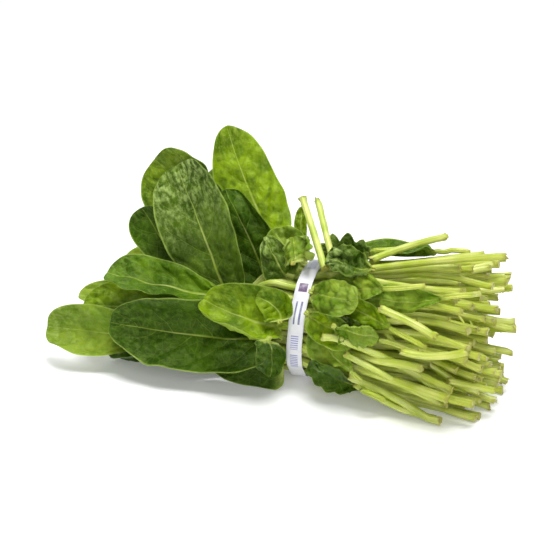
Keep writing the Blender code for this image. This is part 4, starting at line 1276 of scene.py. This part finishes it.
def leaf_finish(name, deep, bright, back, rough, sheen_share):
    """Living spinach blade: waxy and slightly glossy above, with a painted pale sheen on its creases,
    paler and duller below, with pale veins in a net that gets finer, and a stalk and midrib of the
    same tissue as a bare stalk.
    """
    made, tree, shader = new_finish(name)
    facts = {key: node(tree, "ShaderNodeAttribute", attribute_name=key) for key in BLADE_FACTS}
    place = node(tree, "ShaderNodeTexCoord")
    drift = node(
        tree, "ShaderNodeTexNoise",
        {"Vector": (place, "Object"), "Scale": PER_METRE / TONE_PATCH, "Detail": 3.0},
    )
    tone = node(
        tree, "ShaderNodeMapRange", {"Value": (drift, "Fac"), "From Min": 0.4, "From Max": 0.62},
    )
    gap, line = side_veins(tree, facts)
    net = vein_net(tree, facts["grain"])
    mottle, patch = mottling(tree, place, gap)
    crinkle, painted_sheen = crinkle_and_painted_sheen(tree, facts, sheen_share)
    faint = node(tree, "ShaderNodeMath", {0: net, 1: 0.14}, operation="MULTIPLY")
    veined = node(
        tree, "ShaderNodeMath", {0: line, 1: 0.34, 2: faint}, operation="MULTIPLY_ADD", use_clamp=True,
    )
    turned = node(tree, "ShaderNodeMath", {0: (facts["below"], "Fac"), 1: 0.75}, operation="MULTIPLY")
    # A pale margin, lightened further as a painted highlight for the light that catches the raised
    # edges.
    rim = node(
        tree, "ShaderNodeMapRange",
        {"Value": (facts["share"], "Fac"), "From Min": 0.95, "From Max": 1.0,
         "To Min": 0.0, "To Max": 0.7},
    )
    stem_colour, _ = stalk_colour(tree, facts["grain"], place, facts["cut"])
    layers = (
        (tone, linear(bright)),
        (patch, linear(deep)),
        # Painted sheen: pale patches on the crests of the creases, standing in for light caught by the
        # waxy surface.
        (painted_sheen, linear(back)),
        (veined, linear("#8EA848")),
        (turned, linear(back)),
        (rim, linear("#9DB552")),
        (stem_and_midrib(tree, facts), stem_colour),
    )
    colour = painted(tree, linear(deep), layers)
    bump = blade_bump(tree, facts, line, net, crinkle)
    gloss = node(
        tree, "ShaderNodeMapRange",
        {"Value": (mottle, "Fac"), "From Min": 0.3, "From Max": 0.7,
         "To Min": rough - 0.07, "To Max": rough + 0.09},
    )
    tree.links.new(colour.outputs[2], shader.inputs["Base Color"])
    tree.links.new(bump.outputs[0], shader.inputs["Normal"])
    tree.links.new(gloss.outputs[0], shader.inputs["Roughness"])
    shader.inputs["Specular IOR Level"].default_value = 0.35
    shader.inputs["Specular Tint"].default_value = linear("#E4EE9C")
    soak(shader, 0.3)
    return made


# The tie's printed marks.  Zones are in mm round it from its top, towards the front, and bands
# in mm across it from its middle.
TICK_STEP, TICK_SHARE = 1.5, 0.55  # from one tick to the next, and how much of that is ink
TICK_ZONES, TICK_BAND = ((-6.0, 8.0), (58.0, 68.0), (72.0, 84.0)), (-2.6, 2.4)
STRIPE_ZONE, STRIPE_BANDS = (36.0, 51.0), ((-2.2, -1.2), (0.9, 2.2))
BLOCK_ZONE, BLOCK_BAND = (23.5, 29.5), (-2.8, 2.8)


def between(tree, value, low, high):
    """1 where the value is between low and high, and 0 elsewhere."""
    over = node(tree, "ShaderNodeMath", {0: value, 1: low}, operation="GREATER_THAN")
    under = node(tree, "ShaderNodeMath", {0: value, 1: high}, operation="LESS_THAN")
    return node(tree, "ShaderNodeMath", {0: over, 1: under}, operation="MULTIPLY")


def print_field(tree, about, wide, zone, band):
    """1 in one upright field of the print: between two places round the tie and two across it."""
    sides = {0: between(tree, about, *zone), 1: between(tree, wide, *band)}
    return node(tree, "ShaderNodeMath", sides, operation="MULTIPLY")


def tie_print(tree):
    """(share, ink) of each printed mark: rows of fine ticks, two stripes and a block."""
    about = (node(tree, "ShaderNodeAttribute", attribute_name="round"), "Fac")
    wide = (node(tree, "ShaderNodeAttribute", attribute_name="wide"), "Fac")
    tick = node(tree, "ShaderNodeMath", {0: about, 1: TICK_STEP}, operation="FLOORED_MODULO")
    tick = between(tree, tick, 0.0, TICK_STEP * TICK_SHARE)
    marks = []
    for zone in TICK_ZONES:
        row = print_field(tree, about, wide, zone, TICK_BAND)
        row = node(tree, "ShaderNodeMath", {0: tick, 1: row}, operation="MULTIPLY")
        marks.append((row, linear("#7C7FB4")))
    for band in STRIPE_BANDS:
        marks.append((print_field(tree, about, wide, STRIPE_ZONE, band), linear("#5B5C86")))
    marks.append((print_field(tree, about, wide, BLOCK_ZONE, BLOCK_BAND), linear("#54305F")))
    return marks


def tie_finish():
    """Coated white paper with plain violet bars and one purple block, slightly satin."""
    made, tree, shader = new_finish("coated_paper")
    place = node(tree, "ShaderNodeTexCoord")
    cloud = node(
        tree, "ShaderNodeTexNoise",
        {"Vector": (place, "Object"), "Scale": PER_METRE / PAPER_CLOUD, "Detail": 3.0},
    )
    worn = node(
        tree, "ShaderNodeMapRange",
        {"Value": (cloud, "Fac"), "From Min": 0.3, "From Max": 0.55, "To Min": 0.55, "To Max": 0.95},
    )
    layers = [((cloud, "Fac"), linear("#E6E6E8"))]
    for mark, ink in tie_print(tree):
        shown = node(tree, "ShaderNodeMath", {0: mark, 1: worn}, operation="MULTIPLY")
        layers.append((shown, ink))
    colour = painted(tree, linear("#CFD0D8"), layers)
    bump = node(
        tree, "ShaderNodeBump", {"Height": (cloud, "Fac"), "Strength": 0.3, "Distance": 0.0002},
    )
    tree.links.new(colour.outputs[2], shader.inputs["Base Color"])
    tree.links.new(bump.outputs[0], shader.inputs["Normal"])
    shader.inputs["Roughness"].default_value = 0.42
    shader.inputs["IOR"].default_value = 1.5
    return made


# ---------------------------------------------------------------- bare stalks
# The sizes that the tree is given, in mm unless said: each is one of its inputs.
STALK_SIZES = {
    "Sides": 18,
    "Ribs": float(RIBS),
    "Rib depth": RIB_DEPTH,  # in radii
    "Slant": 0.55,  # how far a cut end leans over, in radii
    "Fray": 6.0,  # how strongly a cut end is torn, and how coarse and how long the torn part is
    "Fray size": 2.2,
    "Fray length": 4.5,
    "Lump": 0.8,  # unevenness of the stalk's skin
    "Lump size": 7.0,
}
TORN_CLEAR = 0.1  # mm that a torn end stays above the table
# What is kept of a line's points as it is swept, and of the profile's.
SWEPT_FACTS = {
    "run": "FLOAT", "cut": "FLOAT", "thick": "FLOAT",
    "heading": "FLOAT_VECTOR", "tilt": "FLOAT_VECTOR", "round": "FLOAT_VECTOR",
}


def stalk_inputs(tree):
    """Declares what the tree is given: the lines, its sizes, a seed and a finish."""
    kinds = {"Geometry": "Geometry", "Seed": "Int", "Finish": "Material"}
    for name, size in STALK_SIZES.items():
        kinds[name] = "Int" if isinstance(size, int) else "Float"
    for name, kind in kinds.items():
        tree.interface.new_socket(name, in_out="INPUT", socket_type=f"NodeSocket{kind}")
    tree.interface.new_socket("Geometry", in_out="OUTPUT", socket_type="NodeSocketGeometry")
    return node(tree, "NodeGroupInput")


def ribbed_profile(tree, given):
    """A circle of radius 1 whose edge rises in ribs, with each point's place on the plain one."""
    index = node(tree, "GeometryNodeInputIndex")
    turn = node(tree, "ShaderNodeMath", {0: index, 1: (given, "Sides")}, operation="DIVIDE")
    turn = node(tree, "ShaderNodeMath", {0: turn, 1: 2 * math.pi}, operation="MULTIPLY")
    wave = node(tree, "ShaderNodeMath", {0: turn, 1: (given, "Ribs")}, operation="MULTIPLY")
    wave = node(tree, "ShaderNodeMath", {0: wave}, operation="COSINE")
    size = node(
        tree, "ShaderNodeMath", {0: wave, 1: (given, "Rib depth"), 2: 1.0}, operation="MULTIPLY_ADD",
    )
    circle = node(
        tree, "GeometryNodeCurvePrimitiveCircle", {"Resolution": (given, "Sides"), "Radius": 1.0},
    )
    here = node(tree, "GeometryNodeInputPosition")
    ribbed = node(tree, "ShaderNodeVectorMath", {0: here, "Scale": size}, operation="SCALE")
    profile = node(tree, "GeometryNodeSetPosition", {"Geometry": circle, "Position": ribbed})
    return node(
        tree, "GeometryNodeStoreNamedAttribute",
        {"Geometry": profile, "Name": "round", "Value": here}, data_type=SWEPT_FACTS["round"],
    )


def marked_lines(tree, given):
    """The lines with what the swept stalk has to know at each of their points."""
    spot = node(tree, "GeometryNodeSplineParameter")
    whole = node(tree, "GeometryNodeSplineLength")
    left = node(
        tree, "ShaderNodeMath", {0: (whole, "Length"), 1: (spot, "Length")}, operation="SUBTRACT",
    )
    near = node(tree, "ShaderNodeMath", {0: (spot, "Length"), 1: left}, operation="MINIMUM")
    near = node(tree, "ShaderNodeMath", {0: near, 1: PER_METRE}, operation="MULTIPLY")
    strand = node(tree, "GeometryNodeCurveOfPoint")
    tilt = node(
        tree, "FunctionNodeRandomValue",
        {"Min": (-1.0, -1.0, -1.0), "Max": (1.0, 1.0, 1.0),
         "ID": (strand, "Curve Index"), "Seed": (given, "Seed")},
        data_type="FLOAT_VECTOR",
    )
    stored = {
        "run": (spot, "Length"),
        "cut": near,
        "heading": node(tree, "GeometryNodeInputTangent"),
        "tilt": tilt,
        "thick": node(tree, "GeometryNodeInputRadius"),
    }
    lines = (given, "Geometry")
    for name, value in stored.items():
        lines = node(
            tree, "GeometryNodeStoreNamedAttribute",
            {"Geometry": lines, "Name": name, "Value": value}, data_type=SWEPT_FACTS[name],
        )
    return lines


def slanted_ends(tree, given, swept, read):
    """Leans each cut end over, every one its own way."""
    lean = node(
        tree, "ShaderNodeVectorMath",
        {0: (read["round"], "Attribute"), 1: (read["tilt"], "Attribute")}, operation="DOT_PRODUCT",
    )
    slide = node(
        tree, "ShaderNodeMath", {0: (lean, "Value"), 1: (given, "Slant")}, operation="MULTIPLY",
    )
    slide = node(
        tree, "ShaderNodeMath", {0: slide, 1: (read["thick"], "Attribute")}, operation="MULTIPLY",
    )
    shear = node(
        tree, "ShaderNodeVectorMath", {0: (read["heading"], "Attribute"), "Scale": slide},
        operation="SCALE",
    )
    at_end = node(
        tree, "ShaderNodeMath", {0: (read["cut"], "Attribute"), 1: 0.1}, operation="LESS_THAN",
    )
    return node(
        tree, "GeometryNodeSetPosition", {"Geometry": swept, "Selection": at_end, "Offset": shear},
    )


def frayed_ends(tree, given, swept, read):
    """Tears the last few millimetres of a stalk, most at the cut itself."""
    scale = node(
        tree, "ShaderNodeMath", {0: PER_METRE, 1: (given, "Fray size")}, operation="DIVIDE",
    )
    torn = node(tree, "ShaderNodeTexNoise", {"Scale": scale, "Detail": 2.0})
    torn = node(
        tree, "ShaderNodeVectorMath", {0: (torn, "Color"), 1: (0.5, 0.5, 0.5)}, operation="SUBTRACT",
    )
    most = node(tree, "ShaderNodeMath", {0: (given, "Fray"), 1: MM}, operation="MULTIPLY")
    strength = node(
        tree, "ShaderNodeMapRange",
        {"Value": (read["cut"], "Attribute"), "From Min": 0.0, "From Max": (given, "Fray length"),
         "To Min": most, "To Max": 0.0},
    )
    torn = node(tree, "ShaderNodeVectorMath", {0: torn, "Scale": strength}, operation="SCALE")
    return node(tree, "GeometryNodeSetPosition", {"Geometry": swept, "Offset": torn})


def lumpy_skin(tree, given, swept):
    """Pushes the skin in and out a little."""
    scale = node(
        tree, "ShaderNodeMath", {0: PER_METRE, 1: (given, "Lump size")}, operation="DIVIDE",
    )
    rough = node(tree, "ShaderNodeTexNoise", {"Scale": scale, "Detail": 1.0})
    rough = node(tree, "ShaderNodeMath", {0: (rough, "Fac"), 1: -0.5}, operation="ADD")
    height = node(tree, "ShaderNodeMath", {0: (given, "Lump"), 1: MM}, operation="MULTIPLY")
    rough = node(tree, "ShaderNodeMath", {0: rough, 1: height}, operation="MULTIPLY")
    push = node(
        tree, "ShaderNodeVectorMath", {0: node(tree, "GeometryNodeInputNormal"), "Scale": rough},
        operation="SCALE",
    )
    return node(tree, "GeometryNodeSetPosition", {"Geometry": swept, "Offset": push})


def fibre_grain(tree, swept, read):
    """Stores where a point lies on its stalk, in mm round and along it, for the fibres."""
    thick = node(
        tree, "ShaderNodeMath", {0: (read["thick"], "Attribute"), 1: PER_METRE}, operation="MULTIPLY",
    )
    ring = node(
        tree, "ShaderNodeVectorMath", {0: (read["round"], "Attribute"), "Scale": thick},
        operation="SCALE",
    )
    run = node(
        tree, "ShaderNodeMath", {0: (read["run"], "Attribute"), 1: PER_METRE}, operation="MULTIPLY",
    )
    run = node(tree, "ShaderNodeCombineXYZ", {"Z": run})
    grain = node(tree, "ShaderNodeVectorMath", {0: ring, 1: run}, operation="ADD")
    return node(
        tree, "GeometryNodeStoreNamedAttribute",
        {"Geometry": swept, "Name": "grain", "Value": grain}, data_type="FLOAT_VECTOR",
    )


def stalk_tree():
    """Sweeps a ribbed round along each line, uneven and with both ends slanted and torn."""
    tree = bpy.data.node_groups.new("ribbed_stalk", "GeometryNodeTree")
    given = stalk_inputs(tree)
    profile = ribbed_profile(tree, given)
    lines = marked_lines(tree, given)
    swept = node(
        tree, "GeometryNodeCurveToMesh",
        {"Curve": lines, "Profile Curve": profile,
         "Scale": node(tree, "GeometryNodeInputRadius"), "Fill Caps": True},
    )
    read = {
        name: node(tree, "GeometryNodeInputNamedAttribute", {"Name": name}, data_type=kind)
        for name, kind in SWEPT_FACTS.items()
    }
    swept = slanted_ends(tree, given, swept, read)
    swept = frayed_ends(tree, given, swept, read)
    swept = lumpy_skin(tree, given, swept)
    swept = fibre_grain(tree, swept, read)
    swept = node(tree, "GeometryNodeRealizeInstances", {"Geometry": swept})
    swept = node(
        tree, "GeometryNodeSetMaterial", {"Geometry": swept, "Material": (given, "Finish")},
    )
    node(tree, "NodeGroupOutput", {"Geometry": swept})
    return tree


def line_object(name, lines, shift):
    """A curve object with a straight-sided line through the points of each (points, radius)."""
    curve = bpy.data.curves.new(name, "CURVE")
    curve.dimensions = "3D"
    for points, radius in lines:
        spline = curve.splines.new("POLY")
        spline.points.add(len(points) - 1)
        for point, place in zip(spline.points, (points - shift) * MM):
            point.co = (*place, 1)
            point.radius = radius * MM
    made = bpy.data.objects.new(name, curve)
    bpy.context.scene.collection.objects.link(made)
    return made


def stalk_piece(name, lines, tree, finish, shift):
    """One piece with a stalk swept along each (points, radius) of lines."""
    maker = line_object(name + "_line", lines, shift)
    grow = maker.modifiers.new("grow", "NODES")
    grow.node_group = tree
    settings = {**STALK_SIZES, "Seed": sum(map(ord, name)), "Finish": finish}
    for socket in tree.interface.items_tree:
        if socket.in_out == "INPUT" and socket.name in settings:
            grow[socket.identifier] = settings[socket.name]
    bpy.context.view_layer.update()
    ready = maker.evaluated_get(bpy.context.evaluated_depsgraph_get())
    mesh = bpy.data.meshes.new_from_object(ready)
    mesh.name = name
    bpy.data.objects.remove(maker)
    places = np.empty(3 * len(mesh.vertices))
    mesh.vertices.foreach_get("co", places)
    places[2::3] = np.maximum(places[2::3], TORN_CLEAR * MM)
    mesh.vertices.foreach_set("co", places)
    mesh.shade_smooth()
    mesh.set_sharp_from_angle(angle=math.radians(50))
    made = bpy.data.objects.new(name, mesh)
    bpy.context.scene.collection.objects.link(made)
    return made


# ---------------------------------------------------------------- the paper tie
PAPER_THICK = 0.35
# The band's outer face from its left edge (-1) to its right one (1), and how far it stands out.
BAND = [(-1, -0.1), (-0.97, 0), (-0.5, 0.04), (0, 0.06), (0.5, 0.04), (0.97, 0), (1, -0.1)]


def places_round(line):
    """How far round the tie each point of a ring is from its top, in mm, towards the front."""
    steps = np.linalg.norm(np.diff(line, axis=0, append=line[:1]), axis=1)
    turned = np.cumsum(steps) - steps
    top = turned[int(len(line) * 0.25)]
    length = steps.sum()
    return (turned - top + length / 2) % length - length / 2


def tie_piece(solid, finish, shift):
    """A thin band over the outside of the tie's solid, with slightly rounded edges."""
    count = len(solid[0]) // 4
    left, right = (np.array(solid[0][k * count : (k + 1) * count]) for k in (0, 1))
    wrapped = [np.concatenate([ring[-2:], ring, ring[:2]]) for ring in (left, right)]
    at = np.arange(2, count + 2, 0.25)
    left, right = (read_between(ring, at) for ring in wrapped)
    middle = np.array([0.0, WAIST_Z])
    rings, wides = [], []
    profile = BAND + [(x, lift - PAPER_THICK) for x, lift in BAND[::-1][1:-1]]
    for wide, lift in profile:
        ring = left + (right - left) * (wide + 1) / 2
        out = ring[:, 1:] - middle
        out /= np.linalg.norm(out, axis=1, keepdims=True)
        ring[:, 1:] += out * lift
        rings.append(ring)
        wides.append(np.full(len(ring), wide * TIE_WIDTH / 2))
    about = places_round(left)
    facts = {"round": np.tile(about, len(profile)), "wide": np.concatenate(wides)}
    faces = []
    size = len(left)
    for k in range(len(profile)):
        a, b = k * size, (k + 1) % len(profile) * size
        faces += [(a + i, a + (i + 1) % size, b + (i + 1) % size, b + i) for i in range(size)]
    return piece_of("paper_tie", np.concatenate(rings), faces, facts, finish, shift)


# ---------------------------------------------------------------- setting
AZIMUTH, ELEVATION, DISTANCE = math.radians(16), math.radians(21), 1150.0
LENS = 115.0
AIM_RIGHT, AIM_UP = -16.9, 26.65  # mm from the waist's middle to what the camera looks at
FLOOR_REACH = 12.0  # metres from the middle of the floor to its edges
LAMPS = (  # name, place and size in metres, and power in watts
    ("overhead", (0.2, -0.3, 1.5), 0.7, 21.0),
    ("sky", (-0.3, 1.2, 3.0), 2.5, 44.0),
    ("front", (0.6, -1.6, 0.9), 0.9, 11.0),
)


def aim_camera(shift):
    """A long lens looking down on the bunch from its front, a little to the right."""
    flat = math.cos(ELEVATION)
    back = Vector((math.sin(AZIMUTH) * flat, -math.cos(AZIMUTH) * flat, math.sin(ELEVATION)))
    right = Vector((math.cos(AZIMUTH), math.sin(AZIMUTH), 0))
    up = back.cross(right)
    target = Vector((0, 0, WAIST_Z)) + right * AIM_RIGHT + up * AIM_UP - Vector(shift)
    camera = bpy.data.objects.new("camera", bpy.data.cameras.new("camera"))
    camera.data.lens = LENS
    camera.data.clip_end = 30
    camera.location = (target + back * DISTANCE) * MM
    camera.rotation_euler = back.to_track_quat("Z", "Y").to_euler()
    bpy.context.scene.collection.objects.link(camera)
    bpy.context.scene.camera = camera


def add_light(name, place, size, power):
    """A round soft light at a place, turned to the bunch."""
    lamp = bpy.data.lights.new(name, "AREA")
    lamp.shape = "DISK"
    lamp.size = size
    lamp.energy = power
    made = bpy.data.objects.new(name, lamp)
    made.location = place
    made.rotation_euler = Vector(place).to_track_quat("Z", "Y").to_euler()
    bpy.context.scene.collection.objects.link(made)


def white_table():
    """A matt white board that glows a very little, so that it stays white far from the lights."""
    made, _, shader = new_finish("white_table")
    shader.inputs["Base Color"].default_value = linear("#F6F6F6")
    shader.inputs["Roughness"].default_value = 0.7
    shader.inputs["Emission Color"].default_value = (1, 1, 1, 1)
    shader.inputs["Emission Strength"].default_value = 0.14
    return made


def set_stage():
    """A wide white floor and a pale surround, lit softly from overhead, behind and in front."""
    mesh = bpy.data.meshes.new("floor")
    corners = [(x * FLOOR_REACH, y * FLOOR_REACH, 0) for x, y in ((-1, -1), (1, -1), (1, 1), (-1, 1))]
    mesh.from_pydata(corners, [], [(0, 1, 2, 3)])
    mesh.materials.append(white_table())
    floor = bpy.data.objects.new("floor", mesh)
    bpy.context.scene.collection.objects.link(floor)
    world = bpy.data.worlds.new("surround")
    world.use_nodes = True
    surround = world.node_tree.nodes["Background"]
    surround.inputs["Color"].default_value = (1, 1, 1, 1)
    surround.inputs["Strength"].default_value = 0.28
    bpy.context.scene.world = world
    for lamp in LAMPS:
        add_light(*lamp)
    bpy.context.scene.view_settings.view_transform = "Standard"


def show_leaves(bunch, shift):
    """Makes the blades, which stand for their solids, and the scraps, which stand for none."""
    finishes = {tint: leaf_finish(f"spinach_{tint}", *look) for tint, look in TINTS.items()}
    shown = [(name.replace("leaf", "blade"), grown, [name]) for name, grown in bunch.leaves.items()]
    shown += [(name, grown, []) for name, grown in bunch.scraps.items()]
    for k, (name, grown, nodes) in enumerate(shown):
        points, faces, facts = fine_leaf(grown, k)
        piece = piece_of(name, points, faces, facts, finishes[grown.leaf.tint], shift)
        settle_in(piece, "leaf", *nodes)


def show_stalks(bunch, shift):
    """Makes the bare stalks, and as one piece all those that are lost among them."""
    tree, finish = stalk_tree(), stalk_finish()
    for name, line in bunch.sticks.items():
        piece = stalk_piece(name.replace("stalk", "stem"), [line], tree, finish, shift)
        settle_in(piece, "stalk", name)
    settle_in(stalk_piece("inner_stems", bunch.inner, tree, finish, shift), "stalk")


def main():
    bunch = lay_bunch()
    everything = np.concatenate([np.asarray(points) for points, _ in bunch.solids.values()])
    low, high = everything.min(axis=0), everything.max(axis=0)
    shift = np.array([(low[0] + high[0]) / 2, (low[1] + high[1]) / 2, low[2]])
    show_leaves(bunch, shift)
    show_stalks(bunch, shift)
    settle_in(tie_piece(bunch.solids["tie"], tie_finish(), shift), "tie", "tie")
    set_stage()
    aim_camera(shift)


main()
